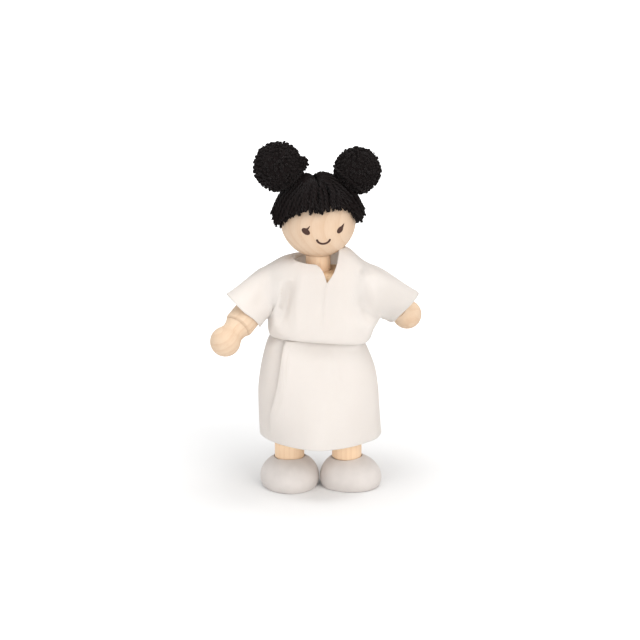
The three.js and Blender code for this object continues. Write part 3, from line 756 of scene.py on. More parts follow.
GAP = 0.3
TORSO_LOW, TORSO_TOP = 50.0, 84.4
TORSO_DEPTH = 17.0
CHEST_HALF, PELVIS_HALF = 12.6, 14.6
HEAD_RADIUS = 14.0
HEAD_Z = 103.3
FACE_TURN = 8.6
NECK_RADIUS = 4.6
SHOULDER = (16.6, 79.0)
HIP = (10.9, 46.0)
BORE = 1.3
SEAT_GAP = 0.3
UPPER_ARM_RADIUS, UPPER_ARM_LENGTH = 4.7, 11.6
THIGH_RADIUS, KNEE_Z = 4.8, 30.0
SHIN_RADIUS, SHIN_START, ANKLE_Z = 5.6, 2.2, 10.7
ARM_LENGTH = 31.0


def seat(radius: float, centre: float, drop: float) -> Profile:
    """Profile points of a bored hollow for the round end of the limb above.

    Args:
        radius: Radius of that end, in millimetres.
        centre: Height of the end's centre.
        drop: How far below it the hollow's rim lies.

    Returns:
        The points, from the rim to the bore.
    """
    wide = radius + SEAT_GAP
    rim, bore = degrees(asin(drop / wide)), degrees(acos(BORE / wide))
    return [(sqrt(wide**2 - drop**2), centre - drop), *arc(wide, centre, -rim, -bore)[1:]]


def peg(radius: float, low: float, high: float) -> Profile:
    """Profile points of a bored peg with two round ends, from the heights of their centres."""
    bore = degrees(acos(BORE / radius))
    return [*arc(radius, low, -bore, 0), *arc(radius, high, 0, bore)]


class Maker(ABC):
    """Something that makes some of the figure's pieces."""

    @abstractmethod
    def build(self) -> list[Piece]:
        """Makes the pieces.

        Returns:
            The objects.
        """


@dataclass(frozen=True)
class ArmPose:
    """How one arm is held in the stored pose."""

    side: Side
    swing: float
    raised: float

    @property
    def place(self) -> Matrix:
        """From an arm that hangs down from its shoulder at the origin to the arm's place, in metres."""
        across = Vector((self.side.sign * SHOULDER[0], 0.0, SHOULDER[1])) * MM
        swing = Matrix.Rotation(radians(self.swing), 4, "X")
        lift = Matrix.Rotation(-self.side.sign * radians(self.raised), 4, "Y")
        return Matrix.Translation(across) @ swing @ lift

    @property
    def along(self) -> Vector:
        """Direction from the shoulder to the hand."""
        return (self.place.to_3x3() @ Vector((0, 0, -1))).normalized()


ARMS = (ArmPose(Side.LEFT, -48.5, 34.0), ArmPose(Side.RIGHT, 47.1, 34.1))
FOOT_TURNS = {Side.LEFT: 8.0, Side.RIGHT: 60.0}


@dataclass
class Arm(Maker):
    """The turned wooden pieces of one arm."""

    pose: ArmPose
    effects: Effects
    forearm_radius: float = 5.5
    forearm_start: float = 1.5
    wrist_radius: float = 7.0
    wrist_edge: float = 5.1
    forearm_end: float = 25.1
    wrist_rounding: float = 0.9
    hand_radius: float = 5.6
    hand_neck: float = 4.25
    hand_neck_up: float = 4.7
    hand_flare: float = 4.85

    def wood(self, piece: str, pith: float) -> Material:
        """The finish of one piece, its grain along the arm."""
        name, tones = f"wood_{piece}_{self.pose.side.value}", (colour(224, 199, 172), colour(209, 173, 140))
        middle = (pith * MM, 0.4 * pith * MM, 60 * MM)
        return WoodFinish(name, *tones, 2.1 * MM, tuple(self.pose.along), middle).build(self.effects)

    def bead(self) -> Shape:
        """The upper arm: a peg with two round ends."""
        return spun(peg(UPPER_ARM_RADIUS, -UPPER_ARM_LENGTH, 0.0), edge=0.15 * MM)

    def forearm(self) -> Shape:
        """The forearm: a short dowel with a seat for the upper arm and a domed end."""
        top = -UPPER_ARM_LENGTH - self.forearm_start
        centre = self.wrist_radius - self.forearm_end
        turn = degrees(asin(self.wrist_edge / self.wrist_radius))
        dome_start = degrees(asin(BORE / self.wrist_radius))
        edge_z = centre - self.wrist_radius * cos(radians(turn))
        rounding = []
        for step in (22, 45, 67, 90):
            c, s = cos(radians(step)), sin(radians(step))
            out = self.wrist_edge + (self.forearm_radius - self.wrist_edge) * s
            rounding.append((out, edge_z + self.wrist_rounding * (1 - c)))
        return spun([
            *arc(self.wrist_radius, centre, dome_start - 90, turn - 90),
            *rounding,
            (self.forearm_radius, top - 0.4),
            (self.forearm_radius - 0.35, top),
            *seat(UPPER_ARM_RADIUS, -UPPER_ARM_LENGTH, self.forearm_start),
        ])

    def hand(self) -> Shape:
        """The hand: a ball whose neck flares out to the forearm's dome."""
        centre = self.wrist_radius - self.forearm_end
        wide = self.wrist_radius + SEAT_GAP
        flare_z = centre - sqrt(wide**2 - self.hand_flare**2)
        neck_z = self.hand_neck_up - ARM_LENGTH
        ball_end = degrees(acos(self.hand_neck / self.hand_radius)) - 10
        seat_rim, seat_bore = (degrees(asin(out / wide)) for out in (self.hand_flare, BORE))
        return spun([
            *arc(self.hand_radius, -ARM_LENGTH, -90, ball_end, 28),
            (self.hand_neck + 0.04, neck_z - 0.35),
            (self.hand_neck, neck_z),
            (self.hand_neck + 0.12, neck_z + 0.4 * (flare_z - neck_z)),
            (self.hand_neck + 0.32, neck_z + 0.75 * (flare_z - neck_z)),
            *arc(wide, centre, seat_rim - 90, seat_bore - 90),
            (BORE, -ARM_LENGTH),
            (0.0, -ARM_LENGTH),
        ])

    def build(self) -> list[Piece]:
        """Makes the three pieces."""
        side = self.pose.side.value
        made = []
        shapes = {"upper_arm": self.bead(), "forearm": self.forearm(), "hand": self.hand()}
        for number, (piece, shape) in enumerate(shapes.items()):
            node = f"{piece}_{side}"
            material = self.wood(piece, 9.0 + 4.0 * number * self.pose.side.sign)
            name, place = f"{node}_wood", self.pose.place
            made.append(finish_piece(name, shape, material, node, [node], place=place))
        return made


@dataclass
class Leg(Maker):
    """The wooden pieces of one leg and its painted foot."""

    side: Side
    effects: Effects
    half_width: float = 11.2
    toe: float = 13.8
    heel: float = 10.0
    height: float = 12.2
    widest: float = 3.0
    sole_share: float = 0.93
    fullness: float = 2.1
    columns: int = 72

    def wood(self, piece: str) -> Material:
        """The finish of one piece, its grain upright."""
        name, tones = f"wood_{piece}_{self.side.value}", (colour(245, 213, 178), colour(229, 190, 152))
        middle = (self.side.sign * 3 * MM, 7 * MM, 40 * MM)
        return WoodFinish(name, *tones, 1.9 * MM, pith=middle).build(self.effects)

    def thigh(self) -> Shape:
        """The thigh: a peg with two round ends."""
        return spun(peg(THIGH_RADIUS, KNEE_Z, HIP[1]))

    def shin(self) -> Shape:
        """The shin: a dowel with a seat for the thigh's end."""
        top = KNEE_Z - SHIN_START
        return spun([
            (BORE, ANKLE_Z),
            (SHIN_RADIUS - 0.3, ANKLE_Z),
            (SHIN_RADIUS, ANKLE_Z + 0.3),
            (SHIN_RADIUS, top - 0.35),
            (SHIN_RADIUS - 0.3, top),
            *seat(THIGH_RADIUS, KNEE_Z, SHIN_START),
        ])

    def ring(self, share: float, height: float) -> list[Vector]:
        """One level of the foot: an egg about the leg's axis.

        Args:
            share: Share of the widest outline.
            height: Height above the floor, in millimetres.

        Returns:
            The points, in metres.
        """
        points = []
        for c, s in circle(self.columns):
            length = self.toe if s < 0 else self.heel
            points.append(Vector((share * self.half_width * c, share * length * s, height)) * MM)
        return points

    def crown(self, share: float) -> float:
        """Height of the dome, in millimetres, at a share of the widest outline."""
        return self.widest + (self.height - self.widest) * (1 - share**self.fullness) ** (1 / self.fullness)

    def rim(self, radius: float, drop: float) -> list[Vector]:
        """A round ring on the dome, about the leg's axis.

        Args:
            radius: Its radius, in millimetres.
            drop: How far below the dome it lies.

        Returns:
            The points, in metres.
        """
        points = []
        for c, s in circle(self.columns):
            x, y = radius * c, radius * s
            share = hypot(x / self.half_width, y / (self.toe if y < 0 else self.heel))
            points.append(Vector((x, y, self.crown(share) - drop)) * MM)
        return points

    def foot(self) -> Shape:
        """The foot: a low dome on a slightly smaller sole, with a round recess for the ankle."""
        tuck = 1 - self.sole_share
        rings = [self.ring(self.sole_share - 0.03, 0.0), self.ring(self.sole_share, 0.12)]
        for share in (0.25, 0.5, 0.75):
            width = self.sole_share + tuck * sin(share * pi / 2)
            rings.append(self.ring(width, self.widest * share))
        recess = SHIN_RADIUS + GAP
        smallest = (recess + 0.7) / self.heel
        turns = [radians(5 * row) for row in range(18)]
        shares = [cos(turn) ** (2 / self.fullness) for turn in turns]
        rings += [self.ring(share, self.crown(share)) for share in shares if share > smallest]
        rings += [self.rim(recess + 0.35, 0.0), self.rim(recess + 0.08, 0.06), self.rim(recess, 0.2)]
        for radius in (recess, BORE):
            circle = self.rim(radius, 0.0)
            rings.append([Vector((point.x, point.y, (ANKLE_Z - GAP) * MM)) for point in circle])
        return bridged(rings, caps=True)

    def build(self) -> list[Piece]:
        """Makes the three pieces."""
        side = self.side.value
        across = Matrix.Translation((self.side.sign * HIP[0] * MM, 0, 0))
        turn = Matrix.Rotation(radians(FOOT_TURNS[self.side]), 4, "Z")
        paint = PaintFinish(f"paint_{side}", colour(216, 209, 204)).build(self.effects)
        made = []
        for piece, shape, place, finish, slot in (
            ("thigh", self.thigh(), across, self.wood("thigh"), "wood"),
            ("shin", self.shin(), across, self.wood("shin"), "wood"),
            ("foot", self.foot(), across @ turn, paint, "painted_wood"),
        ):
            node = f"{piece}_{side}"
            name = f"{node}_{slot.split('_')[0]}"
            made.append(finish_piece(name, shape, finish, node, [node], place=place))
        return made


# Head


def head_place() -> Matrix:
    """From the head's own frame, its centre at the origin and its face towards -Y, to its place."""
    return Matrix.Translation((0, 0, HEAD_Z * MM)) @ Matrix.Rotation(radians(FACE_TURN), 4, "Z")


def on_ball(x: float, z: float, lift: float = 0.0) -> Vector:
    """A point on the front of the head ball.

    Args:
        x: Across, in millimetres from the head's centre.
        z: Up, in millimetres from the head's centre.
        lift: Height above the wood, in millimetres.

    Returns:
        The point in the head's own frame, in metres.
    """
    front = Vector((x, -sqrt(HEAD_RADIUS**2 - x * x - z * z), z))
    return front.normalized() * (HEAD_RADIUS + lift) * MM


@dataclass(frozen=True)
class Stroke:
    """A brush stroke of the printed face: places [x, z] on the ball and the width at each, in millimetres."""

    places: tuple[tuple[float, float], ...]
    widths: tuple[float, ...]


@dataclass(frozen=True)
class Eye:
    """An oval of print with one lash."""

    centre: tuple[float, float]
    half_length: float
    half_width: float
    tilt: float
    lash: Stroke


LEFT_LASH = Stroke(((-6.3, -0.9), (-5.65, -0.3), (-4.95, 0.65)), (1.1, 0.6, 0.14))
RIGHT_LASH = Stroke(((6.7, -0.7), (7.25, 0.05), (7.8, 0.85)), (1.3, 0.8, 0.14))


@dataclass
class Head(Maker):
    """The ball of the head, the dowel of the neck and the printed face."""

    effects: Effects
    neck_in_torso: float = 12.0
    neck_in_head: float = 7.0
    ball_pith: Place = (0.011, 0.009, 0.0)
    neck_pith: Place = (0.004, 0.009, 0.0)
    print_lift: float = 0.03
    eyes: tuple[Eye, ...] = (
        Eye((-6.35, -1.5), 1.62, 1.06, -38.0, LEFT_LASH),
        Eye((6.2, -1.3), 1.45, 1.02, 50.0, RIGHT_LASH),
    )
    eye_points: int = 28
    smile_half: float = 2.38
    smile_drop: float = 1.92
    smile_width: float = 0.78
    smile_x: float = 0.02
    smile_corners: float = -4.34
    smile_steps: int = 32
    smile_length: float = 7.6
    smile_ends: float = 0.35

    def ball(self) -> Shape:
        """The head ball, bored from below for the neck."""
        hole = NECK_RADIUS + GAP
        depth = self.neck_in_head + GAP - HEAD_RADIUS
        start = -degrees(acos(hole / HEAD_RADIUS))
        return spun([(0.0, depth), (hole, depth), *arc(HEAD_RADIUS, 0.0, start, 90, 72)], steps=96)

    def neck(self) -> Shape:
        """The neck: a plain dowel."""
        low, high = TORSO_TOP - self.neck_in_torso, HEAD_Z - HEAD_RADIUS + self.neck_in_head
        return spun([(0.0, low), (NECK_RADIUS, low), (NECK_RADIUS, high), (0.0, high)], edge=0.3 * MM)

    def oval(self, eye: Eye) -> Shape:
        """The oval of one eye, laid on the ball."""
        turn = radians(eye.tilt)
        rings = []
        for share in (1.0, 0.8, 0.55, 0.25):
            ring = []
            for c, s in circle(self.eye_points):
                u, v = share * eye.half_length * c, share * eye.half_width * s
                x = eye.centre[0] + u * cos(turn) - v * sin(turn)
                z = eye.centre[1] + u * sin(turn) + v * cos(turn)
                ring.append(on_ball(x, z, self.print_lift))
            rings.append(ring)
        shape = bridged(rings)
        hole = [e for e in shape.edges if e.is_boundary and e.verts[0].index >= 3 * self.eye_points]
        bmesh.ops.contextual_create(shape, geom=hole)
        return shape

    def ribbon(self, stroke: Stroke) -> Shape:
        """A stroke, laid on the ball.

        Args:
            stroke: Its places and widths.

        Returns:
            The shape.
        """
        rows = []
        last = len(stroke.places) - 1
        for i, ((x, z), width) in enumerate(zip(stroke.places, stroke.widths)):
            before, after = stroke.places[max(i - 1, 0)], stroke.places[min(i + 1, last)]
            along = Vector((after[0] - before[0], after[1] - before[1])).normalized()
            aside = Vector((-along.y, along.x)) * width / 2
            rows.append([on_ball(x + k * aside.x, z + k * aside.y, self.print_lift) for k in (-1, 0, 1)])
        return bridged(rows, closed=False)

    def smile(self) -> Stroke:
        """The curve of the smile, with round ends."""
        places, widths = [], []
        for i in range(self.smile_steps + 1):
            turn = radians(180 + 180 * i / self.smile_steps)
            x, z = self.smile_half * cos(turn), self.smile_drop * sin(turn)
            places.append((self.smile_x + x, self.smile_corners + z))
            end = min(i, self.smile_steps - i) / self.smile_steps * self.smile_length
            taper = max(0.0, 1 - end / self.smile_ends)
            widths.append(self.smile_width * sqrt(max(0.03, 1 - taper**2)))
        return Stroke(tuple(places), tuple(widths))

    def face(self) -> Shape:
        """The printed face: two eyes and a smile, as a very thin layer of ink."""
        whole = bmesh.new()
        parts = [self.ribbon(self.smile())]
        for eye in self.eyes:
            parts += [self.oval(eye), self.ribbon(eye.lash)]
        for part in parts:
            absorb(whole, part)
        for piece_face in whole.faces:
            if piece_face.normal.dot(piece_face.calc_center_median()) < 0:
                piece_face.normal_flip()
        return whole

    def build(self) -> list[Piece]:
        """Makes the head, the neck and the face."""
        tones = colour(223, 197, 171), colour(208, 173, 140)
        ball_wood = WoodFinish("wood_head", *tones, 2.6 * MM, pith=self.ball_pith).build(self.effects)
        # The neck dowel's wood has a lighter tone than the head's: painted light that lifts the neck out of
        # the shade under the head
        tones = colour(246, 216, 184), colour(232, 194, 158)
        brightened_neck_wood = WoodFinish("wood_neck_brightened", *tones, 2.0 * MM, pith=self.neck_pith).build(self.effects)
        ink = PaintFinish("ink_face", colour(74, 48, 38), roughness=0.5).build(self.effects)
        ball, face, neck, at = self.ball(), self.face(), self.neck(), head_place()
        made = [
            finish_piece("head_ball_wood", ball, ball_wood, "head", ["head_ball"], place=at),
            finish_piece("face_print", face, ink, "head", place=at),
            finish_piece("neck_dowel_wood", neck, brightened_neck_wood, "torso", ["neck_dowel"]),
        ]
        thickness = made[1].modifiers.new("ink thickness", "SOLIDIFY")
        thickness.thickness = 2 * self.print_lift * MM
        thickness.offset = 0.0
        return made


# Hair

# Where the hair ends: degrees round the head from its front towards +X, and millimetres up from its centre
HAIRLINE = (
    (-180.0, -6.0), (-140.0, -5.5), (-122.0, -1.5), (-106.0, 1.0), (-94.0, 1.6), (-86.0, 0.8), (-79.0, -0.8),
    (-74.0, -1.8), (-69.0, -0.6), (-62.0, 0.8), (-54.0, 2.3), (-44.0, 4.0), (-31.0, 5.2), (-20.0, 5.7),
    (-8.0, 5.0), (2.0, 6.0), (14.0, 6.6), (30.0, 6.2), (43.0, 5.6), (50.0, 4.0), (57.0, 1.4), (66.0, -0.2),
    (73.0, 0.4), (80.0, 2.6), (98.0, 3.0), (116.0, 0.5), (138.0, -5.0), (180.0, -6.0),
)


def hairline(azimuth: float) -> float:
    """Height of the hair's edge at degrees round the head, held to -180 and 180."""
    return height_at(HAIRLINE, max(-180.0, min(180.0, azimuth)))


@dataclass(frozen=True)
class Bun:
    """One pom-pom bun."""

    side: Side
    radius: float
    lean: float
    sink: float
    tuft: float = 0.0


@dataclass(frozen=True)
class Pile:
    """Tufts that stand out of a ball: their number, a tuft's radius and length, and how uneven they are."""

    count: int
    thick: float
    length: float
    over: float = 0.0
    stray: float = 0.75
    bend: float = 0.28
    lump: float = 0.07
    lumps: float = 2.6
    uneven: tuple[float, float] = (-0.35, 0.1)
    sizes: tuple[float, float] = (0.8, 1.15)


@dataclass
class Hair(Maker):
    """Yarn hair: a cap of strands that fall from a parting, and two pom-pom buns. Lengths in millimetres."""

    effects: Effects
    thickness: float = 3.1
    felt_edge: float = 1.6
    felt_lift: float = 0.1
    felt: float = 0.35
    strand: float = 0.62
    ply: float = 0.38
    ply_offset: float = 0.27
    twist: float = 3.4
    tip_size: float = 0.55
    tip_spread: float = 1.5
    parting_x: float = -1.0
    parting_front: float = -6.5
    parting_back: float = 8.0
    parting_z: float = 14.0
    parting_half: tuple[float, float] = (0.45, 1.3)
    parting_stray: float = 0.8
    parting_ease: float = 1.3
    parting_azimuth: float = -4.0
    fringe_to: float = 64.0
    ragged: float = 0.75
    layers: tuple[tuple[float, int, float], ...] = ((0.75, 92, 0.0), (1.75, 88, 0.35), (2.45, 64, 0.9))
    buns: tuple[Bun, ...] = (Bun(Side.LEFT, 9.2, 36.0, 1.5, tuft=3.2), Bun(Side.RIGHT, 8.8, 39.2, 3.1))
    tuft_place: Place = (7.0, -0.6, -3.9)
    tie_height: float = 1.6
    bun_pile: Pile = Pile(760, 0.58, 2.6)
    bun_fibres: Pile = Pile(900, 0.06, 1.4, over=0.2)
    tuft_pile: Pile = Pile(110, 0.5, 1.6)
    tuft_fibres: Pile = Pile(120, 0.06, 1.0, over=0.3)
    bun_core: float = 0.85
    tuft_core: float = 0.8
    clump: float = 8.0
    clump_from: float = -3.0
    gathered: float = 0.72
    teeth: float = 1.9
    teeth_even: float = 0.2
    sway: float = 0.8
    # Each wave of a strand as [size, rate, order]
    waves: tuple[Place, ...] = ((0.16, 9.0, 1.0), (0.1, 21.0, 2.0))
    # Points of a strand: their spacing on a sphere of this radius, and the least number of steps
    spacing: float = 0.75
    sphere: float = 17.0
    least_steps: int = 24
    # The strands' ends stand off the head from this share on
    flare: float = 0.75
    flare_from: float = 0.82
    # The layer's height at which the mound and the flare are whole, and how far a strand may stand up
    full_lift: float = 2.4
    over: float = 0.5
    frizz_count: int = 420
    frizz_short: tuple[float, float] = (-0.4, 1.0)
    frizz_out: tuple[float, float] = (0.5, 1.1)
    frizz_along: tuple[float, float] = (0.2, 1.4)
    frizz_length: float = 0.8
    frizz_stray: float = 0.35
    frizz_radii: Place = (0.06, 0.05, 0.02)
    tie_turns: int = 14
    tie_steps: int = 180
    tie_radius: float = 0.3
    tie_wind: float = 0.28
    tie_sunk: float = 0.1
    # Bell curves [place, spread, size]: over the azimuth the central lock, the dip beside it and its bow,
    # and over the way along a strand the rise beside the parting and the dive into it
    lock: Bell = (12.0, 11.0, 0.9)
    beside: Bell = (44.0, 14.0, -0.8)
    bow: Bell = (17.0, 12.0, 2.1)
    hump: Bell = (0.14, 0.16, 0.9)
    dive: Bell = (0.0, 0.05, -0.9)
    draw: random.Random = field(default_factory=lambda: random.Random(7))

    @property
    def inner(self) -> float:
        """Radius of the inside of the hair."""
        return HEAD_RADIUS + GAP

    @property
    def outer(self) -> float:
        """Radius of the outside of the hair."""
        return self.inner + self.thickness

    def cap(self) -> Shape:
        """A thin dark felt under the strands, inside the hairline."""
        shape = bmesh.new()
        radius = (self.inner + self.felt_lift) * MM
        bmesh.ops.create_uvsphere(shape, u_segments=96, v_segments=64, radius=radius)
        lost = []
        for face in shape.faces:
            spot = face.calc_center_median() / MM
            if spot.z < hairline(degrees(atan2(spot.x, -spot.y))) + self.felt_edge:
                lost.append(face)
        bmesh.ops.delete(shape, geom=lost, context="FACES")
        bmesh.ops.solidify(shape, geom=shape.faces[:], thickness=-self.felt * MM)
        return shape

    def path(self, azimuth: float, lift: float, short: float) -> list[Vector]:
        """The line of one strand, from the parting to the hairline, in millimetres in the head's own frame.

        Args:
            azimuth: Where it ends, in degrees round the head.
            lift: Height of its layer above the inside of the hair.
            short: How much higher than the hairline it ends.

        Returns:
            The points.
        """
        clump = round((azimuth - self.clump_from) / self.clump) * self.clump + self.clump_from
        apart = (azimuth - clump) / self.clump
        azimuth = clump + (azimuth - clump) * self.gathered
        short += self.teeth * (abs(apart) - self.teeth_even)
        end_z = hairline(azimuth) + short
        raised = bell(azimuth, *self.lock) + bell(azimuth, *self.beside)
        reach = sqrt(max(1.0, (self.inner + lift) ** 2 - end_z**2))
        turn = radians(azimuth)
        end = Vector((reach * sin(turn), -reach * cos(turn), end_z)).normalized()
        back = (abs(azimuth) / 180) ** self.parting_ease
        start_y = self.parting_front + (self.parting_back - self.parting_front) * back
        start_y += self.draw.uniform(-self.parting_stray, self.parting_stray)
        aside = copysign(self.draw.uniform(*self.parting_half), azimuth - self.parting_azimuth)
        start = Vector((self.parting_x + aside, start_y, self.parting_z)).normalized()
        angle = start.angle(end)
        sway, phase = self.draw.uniform(-self.sway, self.sway), self.draw.uniform(0, 2 * pi)
        points = []
        steps = max(self.least_steps, round(angle * self.sphere / self.spacing))
        across = start.cross(end).normalized()
        for i in range(steps + 1):
            share = i / steps
            heading = start * sin((1 - share) * angle) + end * sin(share * angle)
            heading /= sin(angle)
            hump = bell(share, *self.hump) * (0.4 + 0.6 * cos(turn) ** 2)
            dive = bell(share, *self.dive)
            flare = self.flare * max(0.0, (share - self.flare_from) / (1 - self.flare_from)) ** 2
            mound = raised * sin(pi * min(1.0, 1.25 * share)) * (lift / self.full_lift)
            top = self.thickness - self.strand + self.over + max(0.0, mound)
            radius = self.inner + min(lift + hump + mound, top) + dive + flare * (lift / self.full_lift)
            drift = sum(size * sin(rate * share + order * phase) for size, rate, order in self.waves)
            drift += sway * sin(pi * share) + bell(azimuth, *self.bow) * sin(pi * share**0.8)
            points.append(heading * radius + across * drift)
        return points

    def plies(self, line: Sequence[Vector], place: Matrix) -> list[Strand]:
        """Two twisted plies along a line.

        Args:
            line: The strand's points, in millimetres.
            place: From the head's own frame to the figure's.

        Returns:
            For each ply its points in metres and radii.
        """
        phase = self.draw.uniform(0, 2 * pi)
        paths: list[Strand] = [[], []]
        travelled = 0.0
        last = len(line) - 1
        for i, point in enumerate(line):
            if i:
                travelled += (point - line[i - 1]).length
            along = (line[min(i + 1, last)] - line[max(i - 1, 0)]).normalized()
            up = point.normalized()
            aside = along.cross(up).normalized()
            turn = phase + 2 * pi * travelled / self.twist
            tip, apart = (self.tip_size, self.tip_spread) if i == last else (1.0, 1.0)
            for number, path in enumerate(paths):
                a = turn + pi * number
                spot = point + (aside * cos(a) + up * sin(a)) * self.ply_offset * apart
                path.append((place @ (spot * MM), self.ply * tip * MM))
        return paths

    def strands(self) -> dict[str, list[Strand]]:
        """The plies of every strand, by the part of the hair that they belong to."""
        place = head_place()
        parts: dict[str, list[Strand]] = {"hair_left": [], "hair_fringe": [], "hair_right": []}
        for lift, count, short in self.layers:
            for i in range(count):
                azimuth = -180 + 360 * (i + self.draw.uniform(0.2, 0.8)) / count
                line = self.path(azimuth, lift, short + self.draw.uniform(-self.ragged, self.ragged))
                half = "hair_left" if azimuth < 0 else "hair_right"
                parts["hair_fringe" if abs(azimuth) < self.fringe_to else half] += self.plies(line, place)
        return parts

    def scatter(self) -> Vector:
        """A random vector in a cube from -1 to 1."""
        return Vector([self.draw.uniform(-1, 1) for _ in range(3)])

    def frizz(self) -> list[Strand]:
        """Fine loose fibres that stand off the hair, their points in metres."""
        place = head_place()
        paths = []
        for _ in range(self.frizz_count):
            azimuth = self.draw.uniform(-180, 180)
            line = self.path(azimuth, self.thickness - self.strand, self.draw.uniform(*self.frizz_short))
            i = self.draw.randrange(4, len(line) - 2)
            root = line[i]
            along = (line[i + 1] - line[i]).normalized()
            lean = root.normalized() * self.draw.uniform(*self.frizz_out)
            lean += along * self.draw.uniform(*self.frizz_along)
            tip = root + lean * self.frizz_length + self.scatter() * self.frizz_stray
            fibre = zip((root, (root + tip) / 2, tip), self.frizz_radii)
            paths.append([(place @ (point * MM), radius * MM) for point, radius in fibre])
        return paths

    def bun_frame(self, bun: Bun) -> Matrix:
        """From a bun's own frame, its centre at the origin and Z away from the head, to the figure's."""
        out = self.outer + bun.radius - bun.sink
        tilt = Matrix.Rotation(bun.side.sign * radians(bun.lean), 4, "Y")
        return head_place() @ tilt @ Matrix.Translation((0, 0, out * MM))

    def tufts(self, radius: float, pile: Pile, centre: Vector) -> list[Strand]:
        """Short tufts that stand out of a ball all over.

        Args:
            radius: Radius of the ball, in millimetres.
            pile: The tufts' number and sizes.
            centre: Centre of the ball in the bun's own frame.

        Returns:
            For each tuft its points in millimetres and radii.
        """
        golden = pi * (3 - sqrt(5))
        radius += pile.over
        tufts = []
        for i in range(pile.count):
            z = 1 - 2 * (i + 0.5) / pile.count
            flat = sqrt(1 - z * z)
            heading = Vector((flat * cos(golden * i), flat * sin(golden * i), z))
            heading = (heading + self.scatter() * (pile.stray / sqrt(pile.count / 12))).normalized()
            bend = self.scatter() * pile.bend * pile.thick * 2
            rise = noise.noise(heading * pile.lumps + Vector((radius, pile.count, 0.0)))
            tip = radius + pile.lump * radius * rise + self.draw.uniform(*pile.uneven)
            size = pile.thick * self.draw.uniform(*pile.sizes)
            # The root, the shoulder, the top and the tip of the tuft: how far in, how bent and how wide
            shoulder, top = (0.9 * size, 0.6, 1.0), (0.25 * size, 1.0, 0.8)
            tufts.append([
                (centre + heading * (tip - back) + bend * bent, size * share)
                for back, bent, share in ((pile.length, 0.0, 0.8), shoulder, top, (0.0, 1.0, 0.5))
            ])
        return tufts

    def tie(self, bun: Bun) -> list[list[Vector]]:
        """The yarn wound round a bun's root.

        Args:
            bun: The bun.

        Returns:
            For each of its two strands the points in millimetres, in the bun's own frame.
        """
        up = self.tie_height - bun.radius + bun.sink
        across = sqrt(bun.radius**2 - up**2)
        lines = []
        for half in range(2):
            line = []
            for step in range(self.tie_steps + 1):
                turn = 2 * pi * step / self.tie_steps
                wind = self.tie_turns * turn + pi * half
                reach, rise = across - self.tie_sunk + self.tie_wind * cos(wind), self.tie_wind * sin(wind)
                line.append(Vector((reach * cos(turn), reach * sin(turn), up + rise)))
            lines.append(line)
        return lines

    def build(self) -> list[Piece]:
        """Makes the cap, the strands, the buns and their ties."""
        # The lighter second colour of the hair is painted glints on its fibres
        yarn = YarnFinish("yarn_hair", colour(15, 10, 10), colour(32, 23, 22), sheen=0.07).build(self.effects)
        made = [finish_piece("hair_felt", self.cap(), yarn, "head", place=head_place())]
        for node, paths in self.strands().items():
            made.append(strands_mesh(f"{node}_yarn", paths, yarn, [node]))
        made.append(strands_mesh("hair_frizz", self.frizz(), yarn))
        for bun in self.buns:
            place, spot = self.bun_frame(bun), Vector(self.tuft_place)
            tufts = self.tufts(bun.radius, self.bun_pile, Vector())
            fibres = self.tufts(bun.radius, self.bun_fibres, Vector())
            if bun.tuft:
                tufts += self.tufts(bun.tuft, self.tuft_pile, spot)
                fibres += self.tufts(bun.tuft, self.tuft_fibres, spot)
            node = f"bun_{bun.side.value}"
            core = bmesh.new()
            bmesh.ops.create_icosphere(core, subdivisions=4, radius=(bun.radius - self.bun_core) * MM)
            if bun.tuft:
                inner, shift = (bun.tuft - self.tuft_core) * MM, Matrix.Translation(spot * MM)
                bmesh.ops.create_icosphere(core, subdivisions=3, radius=inner, matrix=shift)
            made.append(finish_piece(f"{node}_core", core, yarn, "head", place=place))
            for name, pile, replaced in ((f"{node}_pile", tufts, [node]), (f"{node}_fibres", fibres, [])):
                paths = [[(place @ (point * MM), radius * MM) for point, radius in path] for path in pile]
                made.append(strands_mesh(name, paths, yarn, replaced))
            name = f"bun_tie_{bun.side.value}"
            tie = [[(place @ (point * MM), self.tie_radius * MM) for point in line] for line in self.tie(bun)]
            made.append(strands_mesh(f"{name}_yarn", tie, yarn, [name]))
        return made


def repaint(node: Piece, material: Material) -> None:
    """Gives a shown CAD node a finish.

    Args:
        node: The node's object.
        material: Its new finish.
    """
    node.data.materials.clear()
    node.data.materials.append(material)


# Clothes


@dataclass(frozen=True)
class Station:
    """One level of a garment: its height as a share of the garment's length, and its shares of the torso."""

    up: float
    x: float
    width: float
    depth: float
    square: float
    tilt: float = 0.0


@dataclass(frozen=True)
class Fold:
    """A ridge or a valley down a garment: its place as a share of the turn from +X through +Y."""

    at: float
    spread: float
    depth: float
    start: float = -1.0
    end: float = 2.0


def rows_of(kind: type, *rows: Sequence[float]) -> tuple:
    """A record of some kind from each row of values."""
    return tuple(kind(*row) for row in rows)


@dataclass(frozen=True)
class Pleat:
    """A fold that laps over itself.

    Attributes:
        at: Where it starts, as a share of the turn.
        width: Its width, as a share of the turn.
        lap: How far the cloth laps.
        step: Half the height of its edge, in millimetres.
        bow: How far its line bows on its way down.
        lean: How far its line leans back near the hem.
        fades: Shares of the way down between which it fades out.
    """

    at: float
    width: float
    lap: float
    step: float
    bow: float = 0.0
    lean: float = 0.0
    fades: tuple[float, float] = (0.7, 0.95)

    def line(self, share: float) -> float:
        """Where it lies, as a share of the turn, at a share of the way down."""
        return self.at + self.bow * share - self.lean * share**2.2

    def strength(self, share: float) -> float:
        """How strong it is at a share of the way down."""
        return 1 - smooth(share, *self.fades)


